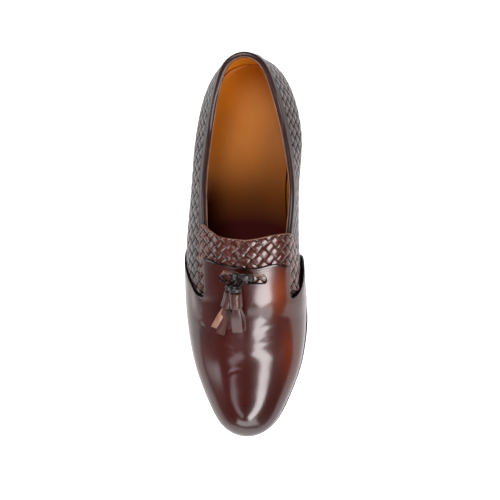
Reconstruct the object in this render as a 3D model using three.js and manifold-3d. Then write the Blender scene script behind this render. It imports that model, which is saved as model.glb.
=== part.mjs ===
import * as THREE from 'three';
import Module from 'manifold-3d';

// A tassel loafer for the right foot, in millimetres. The toe points to -Y, the big-toe side is +X
// and the floor is z = 0. Every section table below holds shares of the named sizes.

// Driving sizes
const SHOE_LENGTH = 298;
const BALL_WIDTH = 96;
const OUTSOLE_THICKNESS = 5;
const HEEL_LIFT = 22;
const TOP_PIECE_THICKNESS = 6;
const HEEL_LENGTH = 66;
const TOE_SPRING = 10;
const BACK_HEIGHT = 61;
const INSTEP_HEIGHT = 70;
const WALL = 2.2;
const OVERLAY_THICKNESS = 1.3;
const BAND_THICKNESS = 0.9;
const BAND_WIDTH = 5.5;
const INSOLE_THICKNESS = 3;
const SEAT_GAP = 0.3;
const STRIP_RELIEF = 0.9;
const WEAVE_CELL = 10.8;
const BACK_STRAP_WIDTH = 21;
const TOE_EDGE = 3.4;
const WAIST_EDGE = 1.2;
const TIE_WIDTH = 5.2;
const TIE_THICKNESS = 1.5;
const TASSEL_HEAD_DIAMETER = 8.6;
const TASSEL_HEAD_LENGTH = 13;
const TASSEL_STRIP_LENGTH = 21;
const TASSEL_STRIP_WIDTH = 6.6;
const TASSEL_STRIP_THICKNESS = 1.6;

// Places along the shoe, as shares of its length from the middle, heel positive
const BALL_REST_START = -0.2;
const BALL_REST_END = -0.12;
const HEEL_RISE_END = 0.275;
const THROAT_STATION = 0.518;
const TONGUE_STATION = 0.55;
const INSTEP_END_STATION = 0.6;
const WOVEN_STATION = 0.36;
const WING_STATION = 0.53;

// Setbacks of the upper's three lines from the ends of the shoe
const TOE_RECESS = 2.5;
const HEEL_RECESS = 1.5;
const FEATHER_TOE_INSET = 1;
const FEATHER_HEEL_INSET = 1.5;
const TOP_TOE_INSET = 8.5;
const TOP_HEEL_INSET = 5;

// Rows of the upper from the sole edge: side rows up to the topline or shoulder, then instep rows
const SIDE_ROWS = 6;
const INSTEP_ROWS = 4;
const ROWS = SIDE_ROWS + INSTEP_ROWS;
const FRONT_COLUMNS = 12;
const SECTION_SAMPLES = 16;
// Steps of the section table from toe to heel, and where the section's bends lie between its guides
const SECTION_STEPS = 10;
const LOW_BEND_SHARE = 0.45;
const SHOULDER_SHARE_LIMIT = 0.8;
// Small steps used to find the slope of the surface
const LOOP_PROBE = 0.004;
const ROW_PROBE = 0.08;

// Sections at equal steps of the outline from toe tip to heel, one row a step.
// Halves and centres are shares of the ball width, rises are shares of the back height over the sole,
// and turn is the share of the wall's rise where it starts to lean in.
const SECTIONS = [
  {
    featherHalf: 0.000, featherCentre: 0.000, wideHalf: 0.000, wideCentre: 0.000, wideRise: 0.164,
    topHalf: 0.000, topCentre: 0.000, topRise: 0.390, turn: 0.40,
  },
  {
    featherHalf: 0.180, featherCentre: 0.000, wideHalf: 0.184, wideCentre: 0.000, wideRise: 0.174,
    topHalf: 0.109, topCentre: 0.000, topRise: 0.420, turn: 0.42,
  },
  {
    featherHalf: 0.308, featherCentre: 0.000, wideHalf: 0.315, wideCentre: 0.000, wideRise: 0.179,
    topHalf: 0.188, topCentre: 0.000, topRise: 0.492, turn: 0.50,
  },
  {
    featherHalf: 0.422, featherCentre: 0.000, wideHalf: 0.434, wideCentre: 0.000, wideRise: 0.205,
    topHalf: 0.258, topCentre: 0.008, topRise: 0.580, turn: 0.53,
  },
  {
    featherHalf: 0.464, featherCentre: -0.010, wideHalf: 0.480, wideCentre: -0.010, wideRise: 0.262,
    topHalf: 0.308, topCentre: 0.024, topRise: 0.760, turn: 0.53,
  },
  {
    featherHalf: 0.406, featherCentre: -0.036, wideHalf: 0.458, wideCentre: -0.029, wideRise: 0.311,
    topHalf: 0.330, topCentre: 0.034, topRise: 0.915, turn: 0.48,
  },
  {
    featherHalf: 0.359, featherCentre: -0.021, wideHalf: 0.436, wideCentre: -0.005, wideRise: 0.238,
    topHalf: 0.352, topCentre: 0.042, topRise: 0.721, turn: 0.28,
  },
  {
    featherHalf: 0.370, featherCentre: 0.010, wideHalf: 0.427, wideCentre: 0.026, wideRise: 0.197,
    topHalf: 0.302, topCentre: 0.036, topRise: 0.680, turn: 0.24,
  },
  {
    featherHalf: 0.323, featherCentre: 0.026, wideHalf: 0.352, wideCentre: 0.031, wideRise: 0.230,
    topHalf: 0.229, topCentre: 0.033, topRise: 0.877, turn: 0.24,
  },
  {
    featherHalf: 0.198, featherCentre: 0.031, wideHalf: 0.214, wideCentre: 0.031, wideRise: 0.254,
    topHalf: 0.142, topCentre: 0.031, topRise: 0.975, turn: 0.22,
  },
  {
    featherHalf: 0.000, featherCentre: 0.031, wideHalf: 0.000, wideCentre: 0.031, wideRise: 0.262,
    topHalf: 0.000, topCentre: 0.031, topRise: 1.000, turn: 0.20,
  },
];

// Ridge of the instep at the same steps, up to the throat.
// along is a share of the length, rise of the instep height over the sole, centre of the ball width.
const RIDGE = [
  { along: -0.408, rise: 0.456, centre: 0.000 },
  { along: -0.390, rise: 0.472, centre: 0.000 },
  { along: -0.355, rise: 0.515, centre: 0.006 },
  { along: -0.279, rise: 0.602, centre: 0.020 },
  { along: -0.148, rise: 0.806, centre: 0.031 },
  { along: -0.003, rise: 0.985, centre: 0.034 },
  { along: 0.141, rise: 0.990, centre: 0.042 },
];

// Rear edge of the vamp's two wings and cut-outs, row by row from the sole edge to the tab's side.
// row is a row of the upper, along is a share of the length.
const LATERAL_WING = [
  { row: -0.5, along: 0.010 },
  { row: 1.0, along: 0.006 },
  { row: 2.0, along: -0.024 },
  { row: 3.0, along: -0.063 },
  { row: 3.8, along: -0.094 },
  { row: 4.4, along: -0.112 },
  { row: 4.9, along: -0.1205 },
  { row: 5.4, along: -0.122 },
  { row: 5.8, along: -0.115 },
  { row: 6.0, along: -0.102 },
];
const MEDIAL_WING = [
  { row: -0.5, along: -0.014 },
  { row: 1.2, along: -0.022 },
  { row: 2.4, along: -0.050 },
  { row: 3.2, along: -0.080 },
  { row: 3.9, along: -0.102 },
  { row: 4.5, along: -0.116 },
  { row: 5.0, along: -0.1235 },
  { row: 5.4, along: -0.124 },
  { row: 5.8, along: -0.117 },
  { row: 6.0, along: -0.104 },
];

// Seen from above: the tab's rear edge and the tongue's outline, across as a share of the ball width
// and along as a share of the length.
const TAB_EDGE = [
  { across: -0.420, along: -0.010 },
  { across: -0.281, along: -0.023 },
  { across: -0.147, along: -0.0365 },
  { across: -0.010, along: -0.0455 },
  { across: 0.101, along: -0.0465 },
  { across: 0.269, along: -0.0375 },
  { across: 0.333, along: -0.0420 },
  { across: 0.470, along: -0.0300 },
];
const TONGUE_OUTLINE = [
  { across: -0.302, along: -0.112 },
  { across: 0.372, along: -0.112 },
  { across: 0.420, along: -0.045 },
  { across: 0.412, along: -0.015 },
  { across: 0.398, along: 0.020 },
  { across: 0.368, along: 0.036 },
  { across: 0.266, along: 0.034 },
  { across: 0.121, along: 0.0245 },
  { across: -0.018, along: 0.0220 },
  { across: -0.156, along: 0.0295 },
  { across: -0.233, along: 0.0440 },
  { across: -0.302, along: 0.0600 },
  { across: -0.330, along: 0.0420 },
  { across: -0.338, along: 0.0160 },
  { across: -0.334, along: -0.0250 },
];
// Slots of the tab: centre and size, across as shares of the ball width, along of the length
const SLOTS = [
  { across: -0.090, along: -0.0690, width: 0.148, height: 0.0200 },
  { across: 0.112, along: -0.0745, width: 0.148, height: 0.0200 },
];

// Finishes
const FINISHES = {
  vamp: { color: 0x5a2418, roughness: 0.25, metalness: 0 },
  woven: { color: 0x3a211c, roughness: 0.35, metalness: 0 },
  band: { color: 0x33170f, roughness: 0.45, metalness: 0 },
  sole: { color: 0x17100e, roughness: 0.5, metalness: 0 },
  rubber: { color: 0x111111, roughness: 0.8, metalness: 0 },
  lining: { color: 0xb8721c, roughness: 0.6, metalness: 0 },
  tassel: { color: 0x42190f, roughness: 0.3, metalness: 0 },
};

const wasm = await Module();
wasm.setup();
const { Manifold, Mesh: SolidMesh } = wasm;

const clamp01 = (value) => Math.min(1, Math.max(0, value));

function smooth(value) {
  const share = clamp01(value);
  return share * share * (3 - 2 * share);
}

// Value of a table column at a station from 0 at the toe to 1 at the heel, by a smooth curve
function column(table, key, station, mirrored) {
  const place = station * SECTION_STEPS;
  const index = Math.min(table.length - 2, Math.max(0, Math.floor(place)));
  const share = place - index;
  const pick = (row) => {
    if (row < 0) {
      return mirrored ? -table[-row][key] : table[-row][key];
    }
    if (row > table.length - 1) {
      const back = 2 * (table.length - 1) - row;
      return mirrored ? -table[back][key] : table[back][key];
    }
    return table[row][key];
  };
  const [p0, p1, p2, p3] = [pick(index - 1), pick(index), pick(index + 1), pick(index + 2)];
  const bend = 2 * p0 - 5 * p1 + 4 * p2 - p3;
  const twist = 3 * (p1 - p2) + p3 - p0;
  return p1 + 0.5 * share * (p2 - p0 + share * (bend + share * twist));
}

// Height of the sole's upper face: flat forefoot, toe spring before it, rise to the heel behind it
function soleTop(y) {
  const springStart = BALL_REST_START * SHOE_LENGTH;
  const spring = Math.max(0, (springStart - y) / (springStart + SHOE_LENGTH / 2));
  const riseStart = BALL_REST_END * SHOE_LENGTH;
  const rise = smooth((y - riseStart) / (HEEL_RISE_END * SHOE_LENGTH - riseStart));
  return OUTSOLE_THICKNESS + TOE_SPRING * spring * spring + HEEL_LIFT * rise;
}

// The three lines round the shoe: where it meets the sole, its widest line and its top line.
// toe and heel are the line's setbacks from the ends of the shoe.
const LINES = {
  feather: {
    half: 'featherHalf',
    centre: 'featherCentre',
    toe: TOE_RECESS + FEATHER_TOE_INSET,
    heel: HEEL_RECESS + FEATHER_HEEL_INSET,
  },
  wide: { half: 'wideHalf', centre: 'wideCentre', toe: TOE_RECESS, heel: HEEL_RECESS },
  top: {
    half: 'topHalf',
    centre: 'topCentre',
    toe: TOE_RECESS + TOP_TOE_INSET,
    heel: HEEL_RECESS + TOP_HEEL_INSET,
  },
};

function linePoint(line, station, side) {
  const front = -SHOE_LENGTH / 2 + line.toe;
  const back = SHOE_LENGTH / 2 - line.heel;
  const y = (front + back) / 2 - ((back - front) / 2) * Math.cos(Math.PI * station);
  const half = column(SECTIONS, line.half, station, true) * BALL_WIDTH;
  const centre = column(SECTIONS, line.centre, station, false) * BALL_WIDTH;
  return new THREE.Vector3(centre + side * half, y, 0);
}

function ridgePoint(station) {
  const y = column(RIDGE, 'along', station, false) * SHOE_LENGTH;
  const x = column(RIDGE, 'centre', station, false) * BALL_WIDTH;
  const rise = column(RIDGE, 'rise', station, false) * INSTEP_HEIGHT;
  return new THREE.Vector3(x, y, soleTop(y) + rise);
}

// Guide points of the section at a station: sole edge, widest, top line, ridge and the bends between
function sectionGuides(station, side) {
  const feather = linePoint(LINES.feather, station, side);
  feather.z = soleTop(feather.y) + SEAT_GAP;
  const wide = linePoint(LINES.wide, station, side);
  wide.z = soleTop(wide.y) + column(SECTIONS, 'wideRise', station, false) * BACK_HEIGHT;
  const top = linePoint(LINES.top, station, side);
  top.z = soleTop(top.y) + column(SECTIONS, 'topRise', station, false) * BACK_HEIGHT;
  const turn = column(SECTIONS, 'turn', station, false);
  const lowBend = new THREE.Vector3(wide.x, wide.y, feather.z + LOW_BEND_SHARE * (wide.z - feather.z));
  const wallBend = new THREE.Vector3(wide.x, wide.y, wide.z + turn * (top.z - wide.z));
  const guides = { feather, lowBend, wide, wallBend, top };
  if (station <= INSTEP_END_STATION) {
    const ridge = ridgePoint(station);
    const inward = Math.hypot(wide.x - top.x, wide.y - top.y);
    const lean = inward / (top.z - wallBend.z);
    const across = Math.hypot(ridge.x - top.x, ridge.y - top.y);
    const share = Math.min(SHOULDER_SHARE_LIMIT, ((ridge.z - top.z) * lean) / across);
    guides.shoulderBend = new THREE.Vector3(top.x, top.y, ridge.z);
    guides.shoulderBend.lerp(new THREE.Vector3(ridge.x, ridge.y, ridge.z), share);
    guides.ridge = ridge;
  }
  return guides;
}

function bend(start, middle, end, share) {
  const rest = 1 - share;
  const point = start.clone().multiplyScalar(rest * rest);
  point.addScaledVector(middle, 2 * rest * share);
  return point.addScaledVector(end, share * share);
}

// Point at a given length along a chain of points
function alongChain(chain, lengths, target) {
  let index = 1;
  while (index < chain.length - 1 && lengths[index] < target) {
    index += 1;
  }
  const span = lengths[index] - lengths[index - 1];
  return chain[index - 1].clone().lerp(chain[index], (target - lengths[index - 1]) / span);
}

function chainLengths(chain) {
  const lengths = [0];
  for (let index = 1; index < chain.length; index += 1) {
    lengths.push(lengths[index - 1] + chain[index].distanceTo(chain[index - 1]));
  }
  return lengths;
}

const sectionCache = new Map();

function section(station, side) {
  const key = `${station.toFixed(6)}:${side}`;
  if (!sectionCache.has(key)) {
    const guides = sectionGuides(station, side);
    const wall = [];
    for (let step = 0; step < SECTION_SAMPLES; step += 1) {
      wall.push(bend(guides.feather, guides.lowBend, guides.wide, step / SECTION_SAMPLES));
    }
    for (let step = 0; step <= SECTION_SAMPLES; step += 1) {
      wall.push(bend(guides.wide, guides.wallBend, guides.top, step / SECTION_SAMPLES));
    }
    const instep = [];
    if (guides.ridge) {
      for (let step = 0; step <= SECTION_SAMPLES; step += 1) {
        instep.push(bend(guides.top, guides.shoulderBend, guides.ridge, step / SECTION_SAMPLES));
      }
    }
    sectionCache.set(key, {
      wall,
      wallLengths: chainLengths(wall),
      instep,
      instepLengths: chainLengths(instep),
    });
  }
  return sectionCache.get(key);
}

// The loop runs 0 to 1 up the medial side from toe to heel, and 1 to 2 back along the lateral side
function stationOf(loop) {
  const turned = ((loop % 2) + 2) % 2;
  return turned <= 1 ? { station: turned, side: 1 } : { station: 2 - turned, side: -1 };
}

// Point of the upper's outer face at a place on the loop and a row
function surface(loop, row) {
  const { station, side } = stationOf(loop);
  const { wall, wallLengths, instep, instepLengths } = section(station, side);
  if (row > SIDE_ROWS) {
    const total = instepLengths[instepLengths.length - 1];
    return alongChain(instep, instepLengths, (total * (row - SIDE_ROWS)) / INSTEP_ROWS);
  }
  const total = wallLengths[wallLengths.length - 1];
  if (row < 0) {
    return wall[0].clone().setZ(wall[0].z + row * WEAVE_CELL);
  }
  const bandStart = total - BAND_WIDTH;
  const target = row <= SIDE_ROWS - 1
    ? (bandStart * row) / (SIDE_ROWS - 1)
    : bandStart + BAND_WIDTH * (row - SIDE_ROWS + 1);
  return alongChain(wall, wallLengths, target);
}


function surfaceNormal(loop, anyRow) {
  const { station } = stationOf(loop);
  const row = Math.max(0, anyRow);
  const onRidge = row >= ROWS - 1e-6;
  const onTopline = row >= SIDE_ROWS - 1e-6 && station > TONGUE_STATION + 1e-6;
  const base = onRidge ? station : loop;
  const along = surface(base + LOOP_PROBE, row).sub(surface(base - LOOP_PROBE, row));
  const highRow = onRidge || onTopline ? row : row + ROW_PROBE;
  const up = surface(base, highRow).sub(surface(base, Math.max(0, row - ROW_PROBE)));
  const normal = along.cross(up).normalize();
  if (onRidge) {
    normal.x = 0;
    normal.normalize();
  }
  return normal;
}

// Point at an offset from the upper's outer face; the lowest row stays seated over the sole
function skinPoint(loop, row, offset) {
  const point = surface(loop, row);
  point.addScaledVector(surfaceNormal(loop, row), offset);
  if (Math.abs(row) < 1e-6) {
    point.z = soleTop(point.y) + SEAT_GAP;
  }
  return point;
}

// Closed triangle mesh whose points are shared where they coincide
class Shell {
  constructor() {
    this.points = [];
    this.keys = new Map();
    this.triangles = [];
  }

  index(point) {
    const key = [point.x, point.y, point.z].map((value) => Math.round(value * 1000)).join(',');
    if (!this.keys.has(key)) {
      this.keys.set(key, this.points.length);
      this.points.push(point.clone());
    }
    return this.keys.get(key);
  }

  triangle(a, b, c) {
    const [ia, ib, ic] = [this.index(a), this.index(b), this.index(c)];
    if (ia !== ib && ib !== ic && ic !== ia) {
      this.triangles.push(ia, ib, ic);
    }
  }

  quad(a, b, c, d) {
    this.triangle(a, b, c);
    this.triangle(a, c, d);
  }

  // Six times the enclosed volume, negative where the faces point inwards
  signedVolume() {
    let total = 0;
    for (let index = 0; index < this.triangles.length; index += 3) {
      const [a, b, c] = [0, 1, 2].map((step) => this.points[this.triangles[index + step]]);
      total += a.dot(b.clone().cross(c));
    }
    return total;
  }

  solid() {
    const triangles = this.signedVolume() < 0 ? this.triangles.toReversed() : this.triangles;
    const mesh = new SolidMesh({
      numProp: 3,
      vertProperties: new Float32Array(this.points.flatMap((point) => [point.x, point.y, point.z])),
      triVerts: new Uint32Array(triangles),
    });
    return new Manifold(mesh);
  }
}

function geometryOf(solid) {
  const { vertProperties, triVerts } = solid.getMesh();
  const geometry = new THREE.BufferGeometry();
  geometry.setAttribute('position', new THREE.BufferAttribute(new Float32Array(vertProperties), 3));
  geometry.setIndex(new THREE.BufferAttribute(new Uint32Array(triVerts), 1));
  geometry.computeVertexNormals();
  return geometry;
}

const shoe = new THREE.Group();

function addPart(name, solid, finish) {
  const material = new THREE.MeshStandardMaterial(FINISHES[finish]);
  const mesh = new THREE.Mesh(geometryOf(solid), material);
  mesh.name = name;
  shoe.add(mesh);
}

// Columns of the upper's grid: stations at even lengths along the widest line, closer at the toe
function makeStations() {
  const steps = 400;
  const chain = [];
  for (let step = 0; step <= steps; step += 1) {
    chain.push(linePoint(LINES.wide, step / steps, -1));
  }
  const lengths = chainLengths(chain);
  const lengthAt = (station) => lengths[Math.round(station * steps)];
  const stationAt = (length) => {
    const index = Math.max(1, lengths.findIndex((value) => value >= length - 1e-9));
    const share = (length - lengths[index - 1]) / (lengths[index] - lengths[index - 1]);
    return (index - 1 + share) / steps;
  };
  const front = lengthAt(WOVEN_STATION);
  const total = lengths[steps];
  const strapStart = total - BACK_STRAP_WIDTH / 2;
  const rearColumns = Math.round((strapStart - front) / WEAVE_CELL);
  const stations = [];
  for (let index = 0; index < FRONT_COLUMNS; index += 1) {
    stations.push(stationAt((front * index) / FRONT_COLUMNS));
  }
  for (let index = 0; index <= rearColumns; index += 1) {
    stations.push(stationAt(front + ((strapStart - front) * index) / rearColumns));
  }
  stations.push(1);
  return stations;
}

const STATIONS = makeStations();
const HEEL_COLUMN = STATIONS.length - 1;
const LOOP_COLUMNS = 2 * HEEL_COLUMN;
const columnStation = (index) => STATIONS[index <= HEEL_COLUMN ? index : LOOP_COLUMNS - index];

function columnLoop(index) {
  const wrapped = ((index % LOOP_COLUMNS) + LOOP_COLUMNS) % LOOP_COLUMNS;
  const station = columnStation(wrapped);
  return wrapped <= HEEL_COLUMN ? station : 2 - station;
}

const sideStation = (index) => columnStation(((index % LOOP_COLUMNS) + LOOP_COLUMNS) % LOOP_COLUMNS);
const firstColumn = (station) => STATIONS.findIndex((value) => value >= station);
const THROAT_COLUMN = STATIONS.findLastIndex((value) => value <= THROAT_STATION);
const TONGUE_COLUMN = firstColumn(TONGUE_STATION);
const WOVEN_COLUMN = firstColumn(WOVEN_STATION);
const WING_COLUMN = firstColumn(WING_STATION);

// A cell is named by its lower column and row; mirrored cells of the lateral side use the loop order
function cellStation(cell) {
  const low = sideStation(cell.column);
  const high = sideStation(cell.column + 1);
  return { low: Math.min(low, high), high: Math.max(low, high) };
}

function cellsWhere(test) {
  const cells = [];
  for (let column = 0; column < LOOP_COLUMNS; column += 1) {
    const { low, high } = cellStation({ column });
    for (let row = 0; row < ROWS; row += 1) {
      if (test(row, low, high)) {
        cells.push({ column, row });
      }
    }
  }
  return cells;
}

const cellKey = (column, row) => `${((column % LOOP_COLUMNS) + LOOP_COLUMNS) % LOOP_COLUMNS}:${row}`;

// One raised stretch of strip over a crossing, between the crossing's four gaps
const STRIP_HALF_LENGTH = 0.31;
const STRIP_HALF_WIDTH = 0.43;

function addCrossing(shell, gaps, level, lengthwise) {
  const [east, north, west, south] = level;
  const place = (a, b) => {
    const point = east.clone().multiplyScalar((0.5 + a) * (0.5 - b));
    point.addScaledVector(north, (0.5 + a) * (0.5 + b));
    point.addScaledVector(west, (0.5 - a) * (0.5 + b));
    return point.addScaledVector(south, (0.5 - a) * (0.5 - b));
  };
  const halfA = lengthwise ? STRIP_HALF_LENGTH : STRIP_HALF_WIDTH;
  const halfB = lengthwise ? STRIP_HALF_WIDTH : STRIP_HALF_LENGTH;
  const top = [place(halfA, -halfB), place(halfA, halfB), place(-halfA, halfB), place(-halfA, -halfB)];
  shell.quad(top[0], top[1], top[2], top[3]);
  for (let side = 0; side < 4; side += 1) {
    const next = (side + 1) % 4;
    shell.quad(gaps[side], gaps[next], top[next], top[side]);
  }
}

// Closed wall over a set of cells, from an inner to an outer offset; woven cells get raised strips
function wallOver(cells, outerOffset, innerOffset, isWoven, shell = new Shell()) {
  const present = new Set(cells.map((cell) => cellKey(cell.column, cell.row)));
  const woven = new Set(cells.filter(isWoven).map((cell) => cellKey(cell.column, cell.row)));
  const has = (column, row) => present.has(cellKey(column, row));
  const hasWoven = (column, row) => woven.has(cellKey(column, row));
  const cache = new Map();
  const at = (column, row, kind) => {
    const key = `${cellKey(column, row)}:${kind}`;
    if (!cache.has(key)) {
      const loop = columnLoop(column);
      const level = kind === 'inner' ? innerOffset(loop, row) : outerOffset(loop, row);
      const corners = [[0, 0], [-1, 0], [0, -1], [-1, -1]];
      const sunk = kind === 'gap' && corners.every(([dc, dr]) => hasWoven(column + dc, row + dr));
      cache.set(key, skinPoint(loop, row, sunk ? level - STRIP_RELIEF : level));
    }
    return cache.get(key);
  };
  const centre = (column, row, sink) => {
    const point = new THREE.Vector3();
    const corners = [[0, 0], [1, 0], [1, 1], [0, 1]];
    corners.forEach(([dc, dr]) => point.addScaledVector(at(column + dc, row + dr, 'level'), 0.25));
    const normal = surfaceNormal((columnLoop(column) + closeLoop(column)) / 2, row + 0.5);
    return point.addScaledVector(normal, sink ? -STRIP_RELIEF : 0);
  };
  for (const { column, row } of cells) {
    const [a, b] = [at(column, row, 'gap'), at(column + 1, row, 'gap')];
    const [c, d] = [at(column + 1, row + 1, 'gap'), at(column, row + 1, 'gap')];
    if (hasWoven(column, row)) {
      const middle = centre(column, row, true);
      const level = centre(column, row, false);
      if (hasWoven(column, row + 1)) {
        const above = centre(column, row + 1, true);
        const edge = [at(column + 1, row + 1, 'level'), at(column, row + 1, 'level')];
        const aboveLevel = centre(column, row + 1, false);
        addCrossing(shell, [c, above, d, middle], [edge[0], aboveLevel, edge[1], level], true);
      } else {
        shell.triangle(middle, c, d);
      }
      if (!hasWoven(column, row - 1)) {
        shell.triangle(middle, a, b);
      }
      if (hasWoven(column + 1, row)) {
        const beside = centre(column + 1, row, true);
        const edge = [at(column + 1, row + 1, 'level'), at(column + 1, row, 'level')];
        const besideLevel = centre(column + 1, row, false);
        addCrossing(shell, [beside, c, middle, b], [besideLevel, edge[0], level, edge[1]], false);
      } else {
        shell.triangle(middle, b, c);
      }
      if (!hasWoven(column - 1, row)) {
        shell.triangle(middle, d, a);
      }
    } else {
      shell.quad(a, b, c, d);
    }
    const [ia, ib] = [at(column, row, 'inner'), at(column + 1, row, 'inner')];
    const [ic, id] = [at(column + 1, row + 1, 'inner'), at(column, row + 1, 'inner')];
    shell.triangle(ic, ib, ia);
    shell.triangle(id, ic, ia);
    const edges = [
      { open: !has(column, row - 1), outer: [a, b], inner: [ia, ib] },
      { open: !has(column + 1, row), outer: [b, c], inner: [ib, ic] },
      { open: row < ROWS - 1 && !has(column, row + 1), outer: [c, d], inner: [ic, id] },
      { open: !has(column - 1, row), outer: [d, a], inner: [id, ia] },
    ];
    for (const { open, outer, inner } of edges) {
      if (open) {
        shell.quad(outer[1], outer[0], inner[0], inner[1]);
      }
    }
  }
  return shell;
}

function closeLoop(column) {
  const next = columnLoop(column + 1);
  return next < columnLoop(column) ? next + 2 : next;
}

const never = () => false;
const flat = (value) => () => value;

// Closed patch on the surface between two offsets; place gives loop and row at shares 0 to 1
function patch(across, up, place, outer, inner) {
  const shell = new Shell();
  const grid = (offset) => {
    const rows = [];
    for (let j = 0; j <= up; j += 1) {
      const row = [];
      for (let i = 0; i <= across; i += 1) {
        const { loop, row: height } = place(i / across, j / up);
        row.push(skinPoint(loop, height, offset));
      }
      rows.push(row);
    }
    return rows;
  };
  const high = grid(outer);
  const low = grid(inner);
  for (let j = 0; j < up; j += 1) {
    for (let i = 0; i < across; i += 1) {
      shell.quad(high[j][i], high[j][i + 1], high[j + 1][i + 1], high[j + 1][i]);
      shell.quad(low[j + 1][i], low[j + 1][i + 1], low[j][i + 1], low[j][i]);
    }
    shell.quad(high[j][0], high[j + 1][0], low[j + 1][0], low[j][0]);
    shell.quad(low[j][across], low[j + 1][across], high[j + 1][across], high[j][across]);
  }
  for (let i = 0; i < across; i += 1) {
    shell.quad(low[0][i], low[0][i + 1], high[0][i + 1], high[0][i]);
    shell.quad(high[up][i], high[up][i + 1], low[up][i + 1], low[up][i]);
  }
  return shell.solid();
}

// Upright solid over an outline seen from above
function uprightSolid(outline, bottom, top) {
  const shape = new THREE.Shape(outline.map((point) => new THREE.Vector2(point.x, point.y)));
  const geometry = new THREE.ExtrudeGeometry(shape, { depth: top - bottom, bevelEnabled: false });
  geometry.translate(0, 0, bottom);
  const shell = new Shell();
  const { position } = geometry.attributes;
  const corner = (index) => new THREE.Vector3().fromBufferAttribute(position, index);
  for (let index = 0; index < position.count; index += 3) {
    shell.triangle(corner(index), corner(index + 1), corner(index + 2));
  }
  return shell.solid();
}

const planPoint = ({ across, along }) => new THREE.Vector2(across * BALL_WIDTH, along * SHOE_LENGTH);

// Height of the vamp over the upper: the tab lies over the tongue
const TONGUE_LEVEL = SEAT_GAP + OVERLAY_THICKNESS;
const TAB_LIFT = TONGUE_LEVEL;
const LIFT_START = -0.182;
const LIFT_END = -0.13;
const LIFT_CENTRE = 0.033;
const LIFT_HALF = 0.39;
const LIFT_FADE = 0.075;

function vampLift(loop, row) {
  const point = surface(loop, row);
  const along = point.y / SHOE_LENGTH;
  const across = Math.abs(point.x / BALL_WIDTH - LIFT_CENTRE);
  const forward = smooth((along - LIFT_START) / (LIFT_END - LIFT_START));
  return TAB_LIFT * forward * (1 - smooth((across - LIFT_HALF) / LIFT_FADE));
}

// Upper: one hollow wall, open at the collar and underneath
const strapColumns = [HEEL_COLUMN - 1, HEEL_COLUMN];
const upperCells = cellsWhere((row, low, high) => row < SIDE_ROWS || high <= STATIONS[THROAT_COLUMN] + 1e-9);
const isQuarter = ({ column, row }) => {
  const { low } = cellStation({ column });
  return row < SIDE_ROWS - 1 && low >= STATIONS[WOVEN_COLUMN] - 1e-9 && !strapColumns.includes(column);
};
addPart('upper', wallOver(upperCells, flat(0), flat(-WALL), isQuarter).solid(), 'woven');

// Vamp: smooth leather over the upper's front, cut at the wings, the two cut-outs, the tab and slots
function stationAlong(side, row, along) {
  let [low, high] = [0, TONGUE_STATION];
  for (let step = 0; step < STATION_HALVINGS; step += 1) {
    const middle = (low + high) / 2;
    if (surface(side > 0 ? middle : 2 - middle, row).y < along) {
      low = middle;
    } else {
      high = middle;
    }
  }
  return low;
}

const WING_STEPS = 14;
const WING_COLUMNS = 5;
const CUT_STATION = 0.58;
const CUT_ABOVE = 6;
const CUT_BELOW = 1.5;
const STATION_HALVINGS = 24;

function wingCutter(edge, side) {
  const curve = new THREE.CatmullRomCurve3(
    edge.map(({ row, along }) => new THREE.Vector3(row, along * SHOE_LENGTH, 0)), false, 'centripetal',
  );
  const place = (u, v) => {
    const point = curve.getPoint(v);
    const row = Math.min(SIDE_ROWS, point.x);
    const start = stationAlong(side, Math.max(0, row), point.y);
    const station = side > 0 ? start + (CUT_STATION - start) * u : CUT_STATION + (start - CUT_STATION) * u;
    return { loop: side > 0 ? station : 2 - station, row };
  };
  return patch(WING_COLUMNS, WING_STEPS, place, CUT_ABOVE, -CUT_BELOW);
}

const SLOT_END_STEPS = 6;
const TAB_EDGE_STEPS = 28;
const TAB_CUT_FLOOR = 58;
// A height over every piece of the shoe, where upright cutters end
const OVER_SHOE = HEEL_LIFT + BACK_HEIGHT + INSTEP_HEIGHT;

function slotOutline({ across, along, width, height }) {
  const half = (width * BALL_WIDTH) / 2;
  const radius = (height * SHOE_LENGTH) / 2;
  const centre = planPoint({ across, along });
  const outline = [];
  for (const end of [1, -1]) {
    for (let step = 0; step <= SLOT_END_STEPS; step += 1) {
      const angle = -Math.PI / 2 + (Math.PI * step) / SLOT_END_STEPS;
      const x = end * (half - radius + radius * Math.cos(angle));
      outline.push(new THREE.Vector2(centre.x + x, centre.y + end * radius * Math.sin(angle)));
    }
  }
  return outline;
}

function splineOutline(table, samples) {
  const curve = new THREE.SplineCurve(table.map(planPoint));
  return curve.getPoints(samples);
}

const vampCells = cellsWhere((row, low, high) => high <= STATIONS[WING_COLUMN] + 1e-9);
const vampInner = (loop, row) => SEAT_GAP + vampLift(loop, row);
const vampOuter = (loop, row) => vampInner(loop, row) + OVERLAY_THICKNESS;
const tabBehind = splineOutline(TAB_EDGE, TAB_EDGE_STEPS);
tabBehind.push(new THREE.Vector2(tabBehind[tabBehind.length - 1].x, SHOE_LENGTH / 2));
tabBehind.push(new THREE.Vector2(tabBehind[0].x, SHOE_LENGTH / 2));
let vamp = wallOver(vampCells, vampOuter, vampInner, never).solid();
vamp = vamp.subtract(wingCutter(LATERAL_WING, -1)).subtract(wingCutter(MEDIAL_WING, 1));
vamp = vamp.subtract(uprightSolid(tabBehind, TAB_CUT_FLOOR, OVER_SHOE));
for (const slot of SLOTS) {
  vamp = vamp.subtract(uprightSolid(slotOutline(slot), TAB_CUT_FLOOR, OVER_SHOE));
}
addPart('vamp', vamp, 'vamp');

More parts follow.
